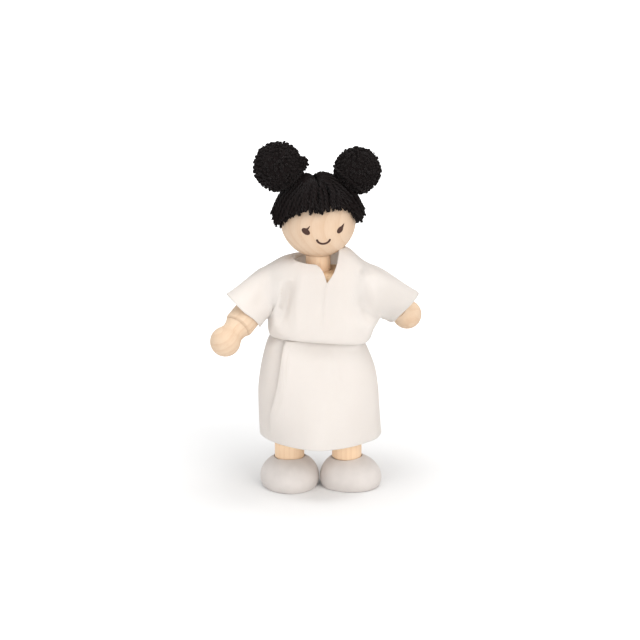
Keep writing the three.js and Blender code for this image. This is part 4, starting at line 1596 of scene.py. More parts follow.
FOLD_FADE = 0.25
CLOTH = 0.32
HEM_INSET = 0.66
ROWS_TO_MIDDLE = 12
BAND = 1.1
WAIST_Z = TORSO_LOW + 8.0
COLLAR_Z = TORSO_TOP + 6.6
SKIRT_LENGTH = 37.1
WAIST_HALF = (CHEST_HALF + PELVIS_HALF) / 2 + 3 * GAP + BAND + 0.7
WAIST_WIDTH = WAIST_HALF / CHEST_HALF
WAIST_DEPTH = 2 * (TORSO_DEPTH / 2 + 3 * GAP + BAND + 0.7) / TORSO_DEPTH


@dataclass
class Garment:
    """A sheet that hangs round the torso, through stations at rising or falling heights."""

    start: float
    length: float
    stations: tuple[Station, ...]
    folds: tuple[Fold, ...]
    pleats: tuple[Pleat, ...] = ()
    rises: tuple[Fold, ...] = ()

    def station(self, share: float) -> Station:
        """The level at a share of the way through the stations, on a smooth curve.

        Args:
            share: From 0 to 1.

        Returns:
            The level.
        """
        last = len(self.stations) - 1
        spot = min(share * last, last - 1e-6)
        row, t = int(spot), spot - int(spot)
        around = [self.stations[min(max(row + k, 0), last)] for k in (-1, 0, 1, 2)]

        def curve(values: Sequence[float]) -> float:
            a, b, c, d = values
            ways = 2 * b + (c - a) * t + (2 * a - 5 * b + 4 * c - d) * t * t + (3 * b - a - 3 * c + d) * t**3
            return ways / 2

        return Station(*(curve([getattr(s, part.name) for s in around]) for part in fields(Station)))

    def total(self, folds: Iterable[Fold], turn: float, share: float) -> float:
        """The sum of some folds at a place, in millimetres.

        Args:
            folds: The folds.
            turn: Share of the turn.
            share: Share of the way through the stations.

        Returns:
            The distance.
        """
        total = 0.0
        for fold in folds:
            apart = abs((turn - fold.at + 0.5) % 1.0 - 0.5)
            begun = smooth(share, fold.start, fold.start + FOLD_FADE)
            ended = smooth(share, fold.end, fold.end + FOLD_FADE)
            total += bell(apart, 0.0, fold.spread, fold.depth) * begun * (1 - ended)
        return total

    def point(self, turn: float, share: float) -> Vector:
        """A point of the cloth, in millimetres.

        Args:
            turn: Share of the turn from +X through +Y.
            share: Share of the way through the stations.

        Returns:
            The point.
        """
        level = self.station(share)
        place, out = turn, self.total(self.folds, turn, share)
        for pleat in self.pleats:
            apart = (turn - pleat.line(share) + 0.5) % 1.0 - 0.5
            strength = pleat.strength(share)
            if abs(apart) < pleat.width:
                near = 0.5 + 0.5 * cos(pi * apart / pleat.width)
                place -= pleat.lap * sin(2 * pi * apart / pleat.width) * near * strength
            fall = bell(apart, 0.0, 1.6 * pleat.width)
            out += pleat.step * tanh(3.2 * apart / pleat.width) * fall * strength
        c, s = cos(2 * pi * place), sin(2 * pi * place)
        across = abs(c / (level.width * CHEST_HALF)) ** level.square
        deep = abs(s / (level.depth * TORSO_DEPTH / 2)) ** level.square
        radius = (across + deep) ** (-1 / level.square) + out
        height = self.start + level.up * self.length + level.tilt * radius * c
        height += self.total(self.rises, turn, share)
        return Vector((level.x * CHEST_HALF + radius * c, radius * s, height))


def turned_hem(rings: list[list[Vector]], back: int, calm: int = 0) -> list[list[Vector]]:
    """Folds the last rows of a sheet back inside it.

    Args:
        rings: The sheet's rows, the last at the hem.
        back: How many rows the folded part covers.
        calm: Rounds of easing of the direction it is folded in.

    Returns:
        The rows with the folded part.
    """
    out = list(rings)
    count = len(rings[0])
    for row, share in [(-1, 0.6)] + [(-1 - k, 1.0) for k in range(1, back + 1)]:
        ring, before = rings[row], rings[row - 1]
        middle = sum(rings[row - ROWS_TO_MIDDLE], Vector()) / count
        inwards = []
        for i, point in enumerate(ring):
            inward = (ring[(i + 1) % count] - ring[i - 1]).cross(point - before[i]).normalized()
            if inward.dot(middle - point) < 0:
                inward.negate()
            inwards.append(inward)
        pairs = zip(ring, eased(inwards, calm))
        out.append([point + inward.normalized() * HEM_INSET * share for point, inward in pairs])
    return out


SKIRT = Garment(
    start=WAIST_Z - GAP,
    length=SKIRT_LENGTH,
    stations=rows_of(
        Station,
        (0.06, 0.0, WAIST_WIDTH, WAIST_DEPTH, 7.0),
        (-0.03, -0.08, 1.425, 1.5, 3.6), (-0.15, -0.05, 1.57, 1.8, 2.7), (-0.32, -0.01, 1.715, 2.06, 2.3),
        (-0.504, 0.0, 1.79, 2.25, 2.1), (-0.666, 0.016, 1.81, 2.39, 2.0),
        (-0.841, 0.04, 1.82, 2.52, 1.85), (-1.0, 0.071, 1.83, 2.6, 1.7),
    ),
    folds=rows_of(
        Fold,
        (0.83, 0.024, -0.8, 0.05, 0.45), (0.73, 0.04, 0.5, 0.3), (0.42, 0.025, -1.1, 0.2),
        (0.33, 0.03, 0.7, 0.3), (0.23, 0.025, -0.9, 0.15), (0.11, 0.03, -0.8, 0.25),
        (0.94, 0.03, 0.5, 0.3),
    ),
    pleats=(Pleat(0.6295, 0.03, 0.0145, 1.9, bow=0.058, lean=0.125),),
)

BLOUSE = Garment(
    start=WAIST_Z,
    length=COLLAR_Z - WAIST_Z,
    stations=rows_of(
        Station,
        (0.095, 0.0, WAIST_WIDTH, WAIST_DEPTH, 9.0),
        (0.06, 0.0, 1.389, 1.53, 5.0, -0.055), (0.056, 0.016, 1.48, 1.64, 3.7, -0.078),
        (0.11, 0.044, 1.55, 1.73, 3.4, -0.065), (0.215, 0.063, 1.54, 1.694, 3.6, -0.02),
        (0.348, 0.032, 1.413, 1.576, 4.0), (0.515, 0.0, 1.325, 1.435, 4.0),
        (0.682, 0.0, 1.294, 1.33, 4.0), (0.827, 0.0, 1.27, 1.2, 4.0), (0.918, 0.016, 1.175, 1.012, 3.4),
        (0.979, 0.04, 0.952, 0.87, 2.6, 0.09), (1.0, 0.05, 0.735, 0.835, 2.2, 0.2),
    ),
    folds=rows_of(
        Fold,
        (0.632, 0.016, -0.5, 0.2, 0.7), (0.668, 0.02, 0.6, 0.2, 0.6), (0.885, 0.02, -1.0, 0.15, 0.6),
        (0.915, 0.018, 0.6, 0.15, 0.5), (0.75, 0.045, 0.4, 0.05, 0.4), (0.16, 0.025, -0.8, 0.15, 0.6),
        (0.34, 0.025, -0.8, 0.15, 0.6), (0.25, 0.03, 0.5, 0.1, 0.5),
    ),
    rises=(Fold(0.89, 0.055, 1.2, 0.8), Fold(0.4, 0.13, -1.5, 0.8)),
)
BLOUSE_HANG = 3

# The neck opening's outline, from the left fold down to the point of the V and up to the right: across and up
NECK_V = (
    (-10.5, 90.4), (-9.2, 89.5), (-7.6, 88.8), (-0.8, 88.2), (0.6, 87.4), (1.9, 85.7), (2.6, 83.8),
    (3.2, 81.6), (4.4, 83.2), (5.7, 85.2), (7.0, 88.4), (7.8, 92.5),
)


def in_neck(x: float, z: float) -> bool:
    """Whether a place, in millimetres, is in the neck opening as seen from the front."""
    edge = height_at(NECK_V, x)
    return edge is not None and z > edge


def blouse_side(side: Side, y: float, height: float) -> float:
    """How far out the blouse's side lies at a place, in millimetres along X on one side.

    Args:
        side: Which side.
        y: Place along Y.
        height: Place along Z.

    Returns:
        The distance from the middle.
    """
    low, high = BLOUSE_HANG / (len(BLOUSE.stations) - 1), 1.0
    up = (height - BLOUSE.start) / BLOUSE.length
    for _ in range(24):
        middle = (low + high) / 2
        if BLOUSE.station(middle).up < up:
            low = middle
        else:
            high = middle
    level = BLOUSE.station(low)
    round_share = max(0.0, 1 - abs(y / (level.depth * TORSO_DEPTH / 2)) ** level.square)
    return CHEST_HALF * (side.sign * level.x + level.width * round_share ** (1 / level.square))


@dataclass(frozen=True)
class Armhole:
    """The oval that a sleeve is set into, on the blouse's side."""

    z: float = 77.1
    half_height: float = 10.5
    half_depth: float = 9.4

    def share(self, y: float, z: float) -> float:
        """Distance from the middle of the oval, 1 on its edge.

        Args:
            y: Place along Y, in millimetres.
            z: Place along Z.

        Returns:
            The share.
        """
        return hypot(y / self.half_depth, (z - self.z) / self.half_height)


ARMHOLE = Armhole()


@dataclass(frozen=True)
class Mouth:
    """The open end of a sleeve, in millimetres: it hangs in a plane that leans forward at its top.

    Attributes:
        centre: The middle.
        up: Direction across and up, from the underside to the sleeve's top.
        half_height: From the middle to its top.
        front: From the middle to its front.
        back: From the middle to its back.
        behind: How much nearer the shoulder its back is.
        fore: How much farther from the shoulder its front is.
    """

    centre: Place
    up: tuple[float, float]
    half_height: float
    front: float
    back: float
    behind: float
    fore: float = 0.0


MOUTHS = {
    Side.LEFT: Mouth((-28.2, -10.2, 71.6), (-0.688, 0.726), 8.3, 8.0, 8.0, 5.0),
    Side.RIGHT: Mouth((33.3, 12.0, 66.8), (0.684, 0.730), 7.2, 7.5, 8.5, 8.0, 1.0),
}


@dataclass
class Sleeve:
    """One wide short sleeve, set into the blouse's armhole and open at its mouth."""

    pose: ArmPose
    fold: float = 0.7
    sides: int = 96
    rows: int = 26
    first: float = 0.12
    clear: float = 0.9
    calm: int = 12
    last_calm: int = 4
    elbow_radius: float = 5.6
    slant: Place = (0.0, 0.961, -0.276)
    flats: tuple[Place, ...] = ((0.060, 0.017, 0.00080), (0.056, 0.025, 0.0013))

    @property
    def flat(self) -> tuple[float, float]:
        """Width and length that the sleeve was cut to, in metres."""
        return self.flats[self.pose.side is Side.RIGHT][:2]

    @property
    def area(self) -> float:
        """Area of the cut, in square metres; its underside is shorter than its top."""
        return self.flats[self.pose.side is Side.RIGHT][2]

    @property
    def joint(self) -> Vector:
        """The shoulder's centre, in millimetres."""
        return Vector((self.pose.side.sign * SHOULDER[0], 0.0, SHOULDER[1]))

    def cleared(self, point: Vector, share: float) -> Vector:
        """A point of the sleeve moved out of the arm and of the blouse's side.

        Args:
            point: The point, in millimetres.
            share: Share of the way to the mouth.

        Returns:
            The point where it may lie.
        """
        side = self.pose.side
        beside = blouse_side(side, point.y, point.z) + self.clear * smooth(share, 0.0, 0.3)
        return self.round_arm(Vector((side.sign * max(side.sign * point.x, beside), point.y, point.z)))

    def round_arm(self, point: Vector) -> Vector:
        """A point moved out of the arm, where it lies too near.

        Args:
            point: The point, in millimetres.

        Returns:
            The point where it may lie.
        """
        along = min(ARM_LENGTH, max(0.0, (point - self.joint).dot(self.pose.along)))
        axis = self.joint + self.pose.along * along
        wider = smooth(along, UPPER_ARM_LENGTH - 3, UPPER_ARM_LENGTH - 1)
        reach = UPPER_ARM_RADIUS + (self.elbow_radius - UPPER_ARM_RADIUS) * wider + self.clear
        away = point - axis
        return axis + away.normalized() * reach if away.length < reach else point

    def start(self, angle: float) -> Vector:
        """A point of the armhole, in millimetres.

        Args:
            angle: From its top towards the front on the right side, towards the back on the left one.

        Returns:
            The point.
        """
        side = self.pose.side
        y = -side.sign * sin(angle) * ARMHOLE.half_depth
        z = ARMHOLE.z + cos(angle) * ARMHOLE.half_height
        return Vector((side.sign * (blouse_side(side, y, z) - 0.1), y, z))

    def end(self, angle: float) -> Vector:
        """A point of the mouth, in millimetres, at the same angle."""
        side = self.pose.side
        mouth = MOUTHS[side]
        up, slant = Vector((mouth.up[0], 0.0, mouth.up[1])), Vector(self.slant)
        out = up.cross(slant)
        if out.dot(self.pose.along) < 0:
            out.negate()
        back = -side.sign * sin(angle)
        flat = copysign(abs(back) ** 1.45, back)
        depth = mouth.back if back > 0 else mouth.front
        middle = Vector(mouth.centre) + out * (mouth.fore * max(0.0, -back) - mouth.behind * max(0.0, back))
        return middle + up * mouth.half_height * cos(angle) + slant * depth * flat

    def rings(self) -> list[list[Vector]]:
        """The sleeve's rows from near the armhole to the mouth, in millimetres."""
        mouth = Vector(MOUTHS[self.pose.side].centre)
        sideways = Vector((self.pose.side.sign, 0.0, 0.0))
        rings = []
        for row in range(self.rows + 1):
            share = self.first + (1 - self.first) * row / self.rows
            middle = self.joint.lerp(mouth, share)
            ring = []
            for i in range(self.sides):
                angle = 2 * pi * i / self.sides
                start, end = self.start(angle), self.end(angle)
                straight = end - start
                leave = straight.lerp(sideways * straight.length, abs(sin(angle)) ** 0.7)
                point = start.lerp(end, share**2 * (3 - 2 * share)) + leave * (share * (1 - share) ** 2)
                point -= straight * (share**2 * (1 - share))
                fold = self.fold * (1 + sin(3 * angle - pi / 2)) * sin(pi * share)
                point += (point - middle).normalized() * fold
                ring.append(self.cleared(point, share))
            clear = [self.cleared(point, share) for point in eased(ring, self.calm)]
            rings.append(eased(clear, self.last_calm))
        return rings


def repacked(shape: Shape) -> Shape:
    """A copy of a shape whose parts lie in one unbroken order; the shape is freed."""
    copy = shape.copy()
    shape.free()
    return copy


def thicken(piece: Piece) -> None:
    """Gives a sheet its thickness."""
    modifier = piece.modifiers.new("cloth thickness", "SOLIDIFY")
    modifier.thickness = CLOTH * MM
    modifier.offset = -1.0
    modifier.use_even_offset = False


@dataclass(frozen=True)
class Crease:
    """A soft fold on the front.

    Attributes:
        places: Its line, across and up in millimetres.
        width: How wide it is, in millimetres.
        depth: How far it stands out, or lies in where negative.
        sharp: Share of the width on its right-hand side.
    """

    places: tuple[tuple[float, float], ...]
    width: float
    depth: float
    sharp: float = 1.0

    def press(self, x: float, z: float) -> float:
        """How far the fold pushes the cloth out at a place.

        Args:
            x: Across, in millimetres.
            z: Up.

        Returns:
            The distance.
        """
        spot = Vector((x, z))
        lengths = [(Vector(b) - Vector(a)).length for a, b in zip(self.places, self.places[1:])]
        total, done, best, along, side = sum(lengths), 0.0, inf, 0.0, 1.0
        for (a, b), length in zip(zip(self.places, self.places[1:]), lengths):
            line = Vector(b) - Vector(a)
            share = min(1.0, max(0.0, (spot - Vector(a)).dot(line) / length**2))
            away = spot - Vector(a) - line * share
            if away.length < best:
                best, along = away.length, (done + share * length) / total
                side = 1.0 if line.x * away.y - line.y * away.x > 0 else -1.0
            done += length
        width = self.width if side > 0 else self.width * self.sharp
        return bell(best, 0.0, width, self.depth) * sin(pi * min(1.0, 0.08 + along)) ** 0.6


BLOUSE_CREASES = (
    Crease(((-15.8, 67.0), (-15.1, 71.5), (-14.1, 79.0), (-13.3, 84.5)), 2.6, 1.7, sharp=0.6),
    Crease(((-14.0, 67.5), (-12.9, 70.5), (-12.0, 74.0), (-11.0, 79.5), (-10.4, 84.0)), 1.6, -2.0),
    Crease(((-17.5, 83.5), (-20.5, 77.0), (-22.5, 72.0)), 1.9, -0.5),
    Crease(((17.6, 81.0), (17.9, 74.0), (18.6, 68.5), (19.8, 65.0)), 1.9, -1.7),
    Crease(((15.6, 78.0), (15.9, 71.0)), 1.0, -0.35),
    Crease(((15.6, 84.0), (19.2, 86.4), (24.8, 86.9)), 1.0, -1.6),
    Crease(((-17.0, 63.0), (-14.0, 61.2), (-9.0, 60.3)), 1.2, -0.5),
    Crease(((3.2, 81.4), (2.0, 78.0), (1.4, 60.5)), 0.42, -0.36, sharp=0.4),
)


@dataclass
class Clothes(Maker):
    """The cotton blouse with its two sleeves, the skirt and the waistband."""

    effects: Effects
    columns: int = 180
    blouse_rows: int = 66
    skirt_rows: int = 60
    neck_start: float = 0.5
    waistband_half: float = 2.2
    waistband_square: float = 9.0
    gathers: int = 48
    relax_rounds: int = 30
    relax_top: float = 89.5
    relax_out: float = 5.5
    relax_oval: float = 1.6
    hole_from: float = 0.87
    calm_ends: int = 40
    calm_until: float = 0.7
    web: float = 2.6
    web_z: float = 65.6
    lining: float = 6.0
    funnel_in: float = 0.3
    funnel_clear: float = 1.0
    wall_in: float = 0.7
    wall_clear: float = 0.5
    front: float = 0.1
    pleat_columns: int = 80
    neck_steps: int = 400
    relax_from: float = 0.75
    fade: float = 1.4
    # The cloth drawn out under the right arm: from where, over what height and depth, and where it ends
    web_from: float = 0.8
    web_height: float = 3.0
    web_depth: float = 11.0
    web_end: tuple[float, float] = (19.0, 27.0)
    blend_from: float = 0.1
    band_steps: int = 240
    band_sides: int = 12
    band_inset: float = 0.12
    gather: float = 0.1
    bend: float = 7.0
    oval: float = 1.12

    def turns(self, garment: Garment) -> list[float]:
        """Shares of the turn for the columns, closer together in a pleat."""
        turns = [i / self.columns for i in range(self.columns)]
        for pleat in garment.pleats:
            lines = [pleat.line(share / 10) for share in range(10)]
            low, high = min(lines) - pleat.width, max(lines) + pleat.width
            turns = [t for t in turns if not low <= t <= high]
            last = self.pleat_columns - 1
            turns += [low + (high - low) * i / last for i in range(self.pleat_columns)]
        return sorted(turns)

    def neck_end(self, turn: float) -> float:
        """Where a column of the blouse meets the neck opening, as a share of the stations."""
        if not 0.5 < turn < 1.0:
            return 1.0
        low = self.neck_start
        for i in range(self.neck_steps + 1):
            share = low + (1 - low) * i / self.neck_steps
            point = BLOUSE.point(turn, share)
            if in_neck(point.x, point.z):
                return max(low + 0.02, share)
        return 1.0

    def blouse_shell(self) -> Shape:
        """The blouse without its sleeves: open at the neck in a V, at the armholes and at the waist."""
        turns = self.turns(BLOUSE)
        ends = [self.neck_end(turn) for turn in turns]
        for _ in range(self.calm_ends):
            for i, turn in enumerate(turns):
                if turn < self.calm_until:
                    ends[i] = (ends[i - 1] + 2 * ends[i] + ends[(i + 1) % len(ends)]) / 4
        rings = []
        low = self.neck_start
        for row in range(self.blouse_rows + 1):
            spot = row / self.blouse_rows
            ring = []
            for turn, end in zip(turns, ends):
                share = spot if spot <= low else low + (end - low) * (spot - low) / (1 - low)
                ring.append(BLOUSE.point(turn, share))
            rings.append(ring)
        shape = bridged(in_metres(turned_hem(rings, 2, calm=10)))
        inside = []
        for face in shape.faces:
            spot = face.calc_center_median() / MM
            if abs(spot.x) > self.hole_from * CHEST_HALF and ARMHOLE.share(spot.y, spot.z) < self.oval:
                inside.append(face)
        bmesh.ops.delete(shape, geom=inside, context="FACES")
        return repacked(shape)

    def hole(self, whole: Shape, side: Side) -> list[bmesh.types.BMEdge]:
        """The edges of an armhole, moved onto its oval.

        Args:
            whole: The blouse.
            side: Left or right.

        Returns:
            The edges, in no order.
        """
        rim = [e for e in whole.edges if e.is_boundary and e.verts[0].co.z > WAIST_Z * MM]
        edges = [max(rim, key=lambda e: e.verts[0].co.x * side.sign)]
        found = set(edges)
        for edge in edges:
            for near in (e for vert in edge.verts for e in vert.link_edges):
                if near.is_boundary and near not in found:
                    found.add(near)
                    edges.append(near)
        for vert in {v for e in edges for v in e.verts}:
            y, z = vert.co.y / MM, vert.co.z / MM
            share = ARMHOLE.share(y, z)
            y, z = y * self.oval / share, ARMHOLE.z + (z - ARMHOLE.z) * self.oval / share
            vert.co = Vector((side.sign * blouse_side(side, y, z), y, z)) * MM
        return edges

    def joined(self, sleeves: Sequence[Sleeve]) -> Shape:
        """The blouse and its sleeves as one sheet; its faces carry their part's number, 0 for the blouse."""
        whole = self.blouse_shell()
        part = whole.faces.layers.int.new("part")
        uv = whole.loops.layers.uv["UVMap"]
        for number, sleeve in enumerate(sleeves, 1):
            rings = sleeve.rings()
            hole = self.hole(whole, sleeve.pose.side)
            before, verts_before = len(whole.faces), len(whole.verts)
            absorb(whole, bridged(in_metres(turned_hem(rings, 3, calm=6))))
            whole.faces.ensure_lookup_table()
            whole.verts.ensure_lookup_table()
            for face in whole.faces[before:]:
                face[part] = number
            first = set(whole.verts[verts_before:verts_before + sleeve.sides])
            ring = [e for e in whole.edges if e.is_boundary and all(v in first for v in e.verts)]
            band = bmesh.ops.bridge_loops(whole, edges=hole + ring)["faces"]
            for face in band:
                face[part] = 0
                for loop in face.loops:
                    spot = loop.vert.co
                    around = atan2(spot.y, spot.z - ARMHOLE.z * MM) * ARMHOLE.half_depth * MM
                    loop[uv].uv = (around, spot.x)
            whole = repacked(whole)
            part, uv = whole.faces.layers.int["part"], whole.loops.layers.uv["UVMap"]
        bmesh.ops.recalc_face_normals(whole, faces=whole.faces[:])
        self.relax(whole, sleeves)
        self.crease(whole)
        return whole

    def by_armhole(self, vert: bmesh.types.BMVert, sleeves: Sequence[Sleeve]) -> bool:
        """Whether a point of the cloth lies round an armhole."""
        spot = vert.co / MM
        if vert.is_boundary or abs(spot.x) <= self.relax_from * CHEST_HALF or spot.z >= self.relax_top:
            return False
        side = sleeves[spot.x > 0].pose.side
        out = spot.x * side.sign - blouse_side(side, spot.y, spot.z)
        return out < self.relax_out and ARMHOLE.share(spot.y, spot.z) < self.relax_oval

    def relax(self, whole: Shape, sleeves: Sequence[Sleeve]) -> None:
        """Eases the cloth round the armholes and keeps it clear of the arms.

        Args:
            whole: The sheet.
            sleeves: The sleeves, left and right.
        """
        near = [vert for vert in whole.verts if self.by_armhole(vert, sleeves)]
        axes = {"use_axis_x": True, "use_axis_y": True, "use_axis_z": True}
        for _ in range(self.relax_rounds):
            bmesh.ops.smooth_vert(whole, verts=near, factor=0.5, **axes)
        for vert in near:
            vert.co = sleeves[vert.co.x > 0].round_arm(vert.co / MM) * MM
        whole.normal_update()

    def crease(self, whole: Shape) -> None:
        """Presses the creases into the front, and draws the cloth out under the right arm.

        Args:
            whole: The sheet.
        """
        moves = []
        for vert in whole.verts:
            if vert.normal.y < self.front:
                push = sum(crease.press(vert.co.x / MM, vert.co.z / MM) for crease in BLOUSE_CREASES)
                share = min(1.0, self.fade * (self.front - vert.normal.y))
                moves.append((vert, vert.normal * push * MM * share))
        for vert, move in moves:
            vert.co += move
        for vert in whole.verts:
            x, y, z = vert.co / MM
            if x > self.web_from * CHEST_HALF:
                near = bell(z, self.web_z, self.web_height) * bell(y, 0.0, self.web_depth)
                vert.co.x += self.web * MM * near * (1 - smooth(x, *self.web_end))

    def rim(self, shape: Shape) -> set[bmesh.types.BMVert]:
        """The points of a shape's seams."""
        seam = shape.edges.layers.int["seam"]
        return {vert for edge in shape.edges if edge[seam] for vert in edge.verts}

    def tuck(self, shape: Shape, sleeve: bool) -> None:
        """Turns the edge at each armhole in under the cloth, so no hole opens when an arm moves.

        A sleeve gets a funnel that reaches in beside the body, at any turn of the arm; the blouse gets a wall
        round the funnel and a lining with a round opening about the arm.

        Args:
            shape: The blouse or a sleeve, with its seams marked.
            sleeve: Whether it is a sleeve.
        """
        lining = shape.faces.layers.int.new("lining")
        seam = shape.edges.layers.int["seam"]
        for side in Side:
            edges = [e for e in shape.edges if e[seam] and e.is_boundary and e.verts[0].co.x * side.sign > 0]
            spots = [vert.co / MM for edge in edges for vert in edge.verts]
            if not spots:
                continue
            inner = min(abs(spot.x) for spot in spots)
            least = min(hypot(spot.y, spot.z - SHOULDER[1]) for spot in spots)
            log.info("armhole %s: out %.2f, radius %.2f", side.value, inner, least)
            funnel, wall = (inner - self.funnel_in, least - self.funnel_clear), inner - self.wall_in
            rows = (funnel,) if sleeve else ((wall, None), (wall, self.lining))
            for out, radius in rows:
                made = bmesh.ops.extrude_edge_only(shape, edges=edges)["geom"]
                for item in made:
                    if isinstance(item, bmesh.types.BMEdge):
                        item[seam] = 0
                    elif isinstance(item, bmesh.types.BMFace):
                        item[lining] = 1
                    else:
                        away = Vector((item.co.y, item.co.z - SHOULDER[1] * MM)) / MM
                        reach = away.length - self.wall_clear if radius is None else radius
                        away = away.normalized() * reach
                        item.co = Vector((side.sign * out, away.x, SHOULDER[1] + away.y)) * MM
                edges = [item for item in made if isinstance(item, bmesh.types.BMEdge) and item.is_boundary]

    def cut(self, whole: Shape, number: int) -> Shape:
        """One part of the joined sheet, its armhole edges tucked in."""
        shape = whole.copy()
        part = shape.faces.layers.int["part"]
        others = [face for face in shape.faces if face[part] != number]
        bmesh.ops.delete(shape, geom=others, context="FACES")
        self.tuck(shape, sleeve=number > 0)
        return shape

    def shade(self, piece: Piece, normals: Sequence[Vector]) -> None:
        """Shades a part as the joined sheet is shaded, so that no seam shows, and its lining by itself.

        Args:
            piece: The part.
            normals: The joined sheet's normals.
        """
        mesh = piece.data
        for edge, seamed in zip(mesh.edges, mesh.attributes["seam"].data):
            edge.use_edge_sharp = edge.use_edge_sharp or bool(seamed.value)
        places, lined = mesh.attributes["whole"].data, mesh.attributes["lining"].data
        mesh.normals_split_custom_set([
            Vector() if lined[face.index].value else normals[places[vert].value]
            for face in mesh.polygons
            for vert in face.vertices
        ])

    def blouse(self, cotton: Material) -> list[Piece]:
        """The blouse and its two sleeves."""
        sleeves = [Sleeve(pose) for pose in ARMS]
        whole = self.joined(sleeves)
        whole.normal_update()
        seam = whole.edges.layers.int.new("seam")
        part = whole.faces.layers.int["part"]
        for edge in whole.edges:
            edge[seam] = len({face[part] for face in edge.link_faces}) > 1
        index = whole.verts.layers.int.new("whole")
        for vert in whole.verts:
            vert[index] = vert.index
        normals = [vert.normal.copy() for vert in whole.verts]
        made, reaches = [], []
        for number, name in enumerate(("blouse", "sleeve_left", "sleeve_right")):
            shape = self.cut(whole, number)
            if number:
                sign = sleeves[number - 1].pose.side.sign
                reaches.append(max(vert.co.x * sign for vert in self.rim(shape)) / MM)
            body = "" if number else "torso"
            piece = finish_piece(f"{name}_cloth", shape, cotton, body, [name], CLOTH_SHARP_OVER)
            self.shade(piece, normals)
            thicken(piece)
            made.append(piece)
        whole.free()
        for piece, sleeve, reach in zip(made[1:], sleeves, reaches):
            side, sign = sleeve.pose.side.value, sleeve.pose.side.sign
            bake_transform(piece)
        return made

    def skirt(self, cotton: Material) -> Piece:
        """The skirt, from the waist to its turned hem."""
        turns = self.turns(SKIRT)
        rings = [
            [SKIRT.point(turn, row / self.skirt_rows) for turn in turns] for row in range(self.skirt_rows + 1)
        ]
        shape = bridged(in_metres(turned_hem(rings, 3)))
        piece = finish_piece("skirt_cloth", shape, cotton, "torso", ["skirt"], CLOTH_SHARP_OVER)
        thicken(piece)
        return piece

    def waistband(self, cotton: Material) -> Piece:
        """The gathered waistband under the blouse."""
        rings = []
        square = self.waistband_square
        for outward, upward in circle(self.band_sides):
            out = 2 * GAP + BAND / 2 + (BAND / 2 - self.band_inset) * outward
            half_x, half_y = (CHEST_HALF + PELVIS_HALF) / 2 + out, TORSO_DEPTH / 2 + out
            ring = []
            for i, (c, s) in enumerate(circle(self.band_steps)):
                gather = self.gather * sin(self.gathers * 2 * pi * i / self.band_steps) * max(0.0, outward)
                radius = (abs(c / half_x) ** square + abs(s / half_y) ** square) ** (-1 / square) + gather
                ring.append(Vector((radius * c, radius * s, WAIST_Z + self.waistband_half * upward)))
            rings.append(ring)
        shape = bridged(in_metres(rings + rings[:1]))
        bmesh.ops.remove_doubles(shape, verts=shape.verts[:], dist=1e-7)
        bmesh.ops.recalc_face_normals(shape, faces=shape.faces[:])
        return finish_piece("waistband_cloth", shape, cotton, "torso", ["waistband"])

    def build(self) -> list[Piece]:
        """Makes the clothes."""
        # The second colour is the painted shade in the weave's hollows
        cotton = CottonFinish("cotton", colour(252, 248, 244), colour(229, 220, 211)).build(self.effects)
        blouse, skirt, band = self.blouse(cotton), self.skirt(cotton), self.waistband(cotton)
        return [*blouse, skirt, band]


# Studio


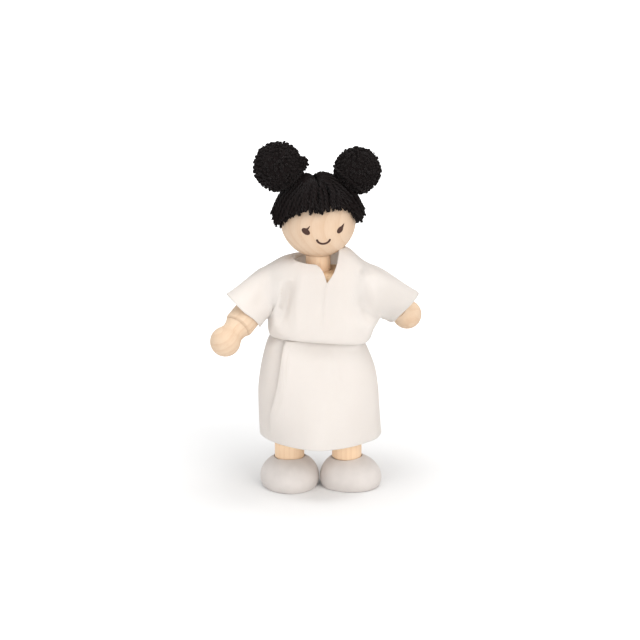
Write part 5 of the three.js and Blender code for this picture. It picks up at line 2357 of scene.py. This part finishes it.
@dataclass
class Studio:
    """A plain pale floor, soft light and the camera."""

    target: Place = (0.0007, 0.0, 0.0646)
    distance: float = 0.8
    elevation: float = 16.0
    lens: float = 120.3

    def camera(self) -> None:
        """Makes the camera."""
        data = bpy.data.cameras.new("camera")
        data.lens = self.lens
        data.clip_start, data.clip_end = 0.05, 20.0
        camera = show("camera", data)
        lean = radians(self.elevation)
        away = Vector((0.0, -cos(lean), sin(lean)))
        camera.location = Vector(self.target) + away * self.distance
        camera.rotation_euler = (-away).to_track_quat("-Z", "Y").to_euler()
        bpy.context.scene.camera = camera

    def lamp(self, name: str, place: Place, size: float, power: float, tint: tuple) -> None:
        """Makes an area lamp that points at the figure.

        Args:
            name: Its name.
            place: Where it stands.
            size: Side of its square face.
            power: In watts.
            tint: Its colour.
        """
        data = bpy.data.lights.new(name, "AREA")
        data.size, data.energy, data.color = size, power, tint
        lamp = show(name, data)
        lamp.location = place
        lamp.rotation_euler = (Vector(self.target) - Vector(place)).to_track_quat("-Z", "Y").to_euler()

    def backdrop(self) -> None:
        """Makes the floor and the world."""
        material, nodes, shader = new_material("floor")
        seen = nodes.add("ShaderNodeLightPath").outputs["Is Camera Ray"]
        away = nodes.add("ShaderNodeVectorMath", {0: nodes.coords()}, operation="LENGTH").outputs["Value"]
        far = nodes.math("MULTIPLY", seen, nodes.remap(away, 0.035, 0.3, 0.0, 1.0))
        glow = nodes.blend(far, (0.0, 0.0, 0.0, 1.0), (0.7, 0.7, 0.7, 1.0))
        paper = {"Base Color": (0.86, 0.86, 0.86, 1.0), "Roughness": 0.9, "Specular IOR Level": 0.1}
        nodes.fill(shader, {**paper, "Emission Color": glow, "Emission Strength": 1.0})
        shape = bmesh.new()
        bmesh.ops.create_grid(shape, x_segments=1, y_segments=1, size=3.0)
        bmesh.ops.translate(shape, vec=(0, 0, -0.05 * MM), verts=shape.verts[:])
        mesh = bpy.data.meshes.new("floor")
        shape.to_mesh(mesh)
        shape.free()
        mesh.materials.append(material)
        show("floor", mesh)
        world = bpy.data.worlds.new("studio")
        bpy.context.scene.world = world
        world.use_nodes = True
        world.node_tree.nodes.clear()
        nodes = Nodes(world.node_tree)
        rays = nodes.add("ShaderNodeLightPath")
        seen = nodes.math("MAXIMUM", rays.outputs["Is Camera Ray"], rays.outputs["Is Glossy Ray"])
        strength = nodes.remap(seen, 0.0, 1.0, 0.74, 1.0)
        light = nodes.add("ShaderNodeBackground", {"Color": (1.0, 1.0, 1.0, 1.0), "Strength": strength})
        nodes.add("ShaderNodeOutputWorld", {"Surface": light.outputs[0]})

    def build(self) -> None:
        """Makes the stage, the lamps and the camera."""
        self.backdrop()
        self.lamp("key", (0.5, -0.7, 0.6), 0.55, 3.2, (1.0, 0.965, 0.93))
        self.lamp("top", (0.02, -0.05, 0.9), 0.4, 2.3, (1.0, 1.0, 1.0))
        self.lamp("fill", (-0.3, -0.95, 0.1), 0.6, 2.8, (0.97, 0.98, 1.0))
        self.camera()
        bpy.context.scene.view_settings.view_transform = "Standard"


def main() -> None:
    """Builds the figure's pieces in order, dresses what the frame shows, and lights it."""
    effects = Effects(grain_group(), weave_group(), mottle_group())
    makers = [
        *(Arm(pose, effects) for pose in ARMS),
        *(Leg(side, effects) for side in Side),
        Head(effects),
        Hair(effects),
        Clothes(effects),
    ]
    for maker in makers:
        made = maker.build()
        log.info("%s: %d pieces", type(maker).__name__, len(made))
    pith = (5 * MM, 11 * MM, 0.0)
    torso = WoodFinish("wood_torso", colour(240, 212, 176), colour(214, 170, 124), pith=pith)
    repaint(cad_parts["torso_block"], torso.build(effects))
    cord = YarnFinish("cord", colour(238, 234, 226), colour(212, 206, 196), sheen=0.1).build(effects)
    for name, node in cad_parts.items():
        if "elastic" in name:
            repaint(node, cord)
    Studio().build()


if __name__ == "__main__":
    main()
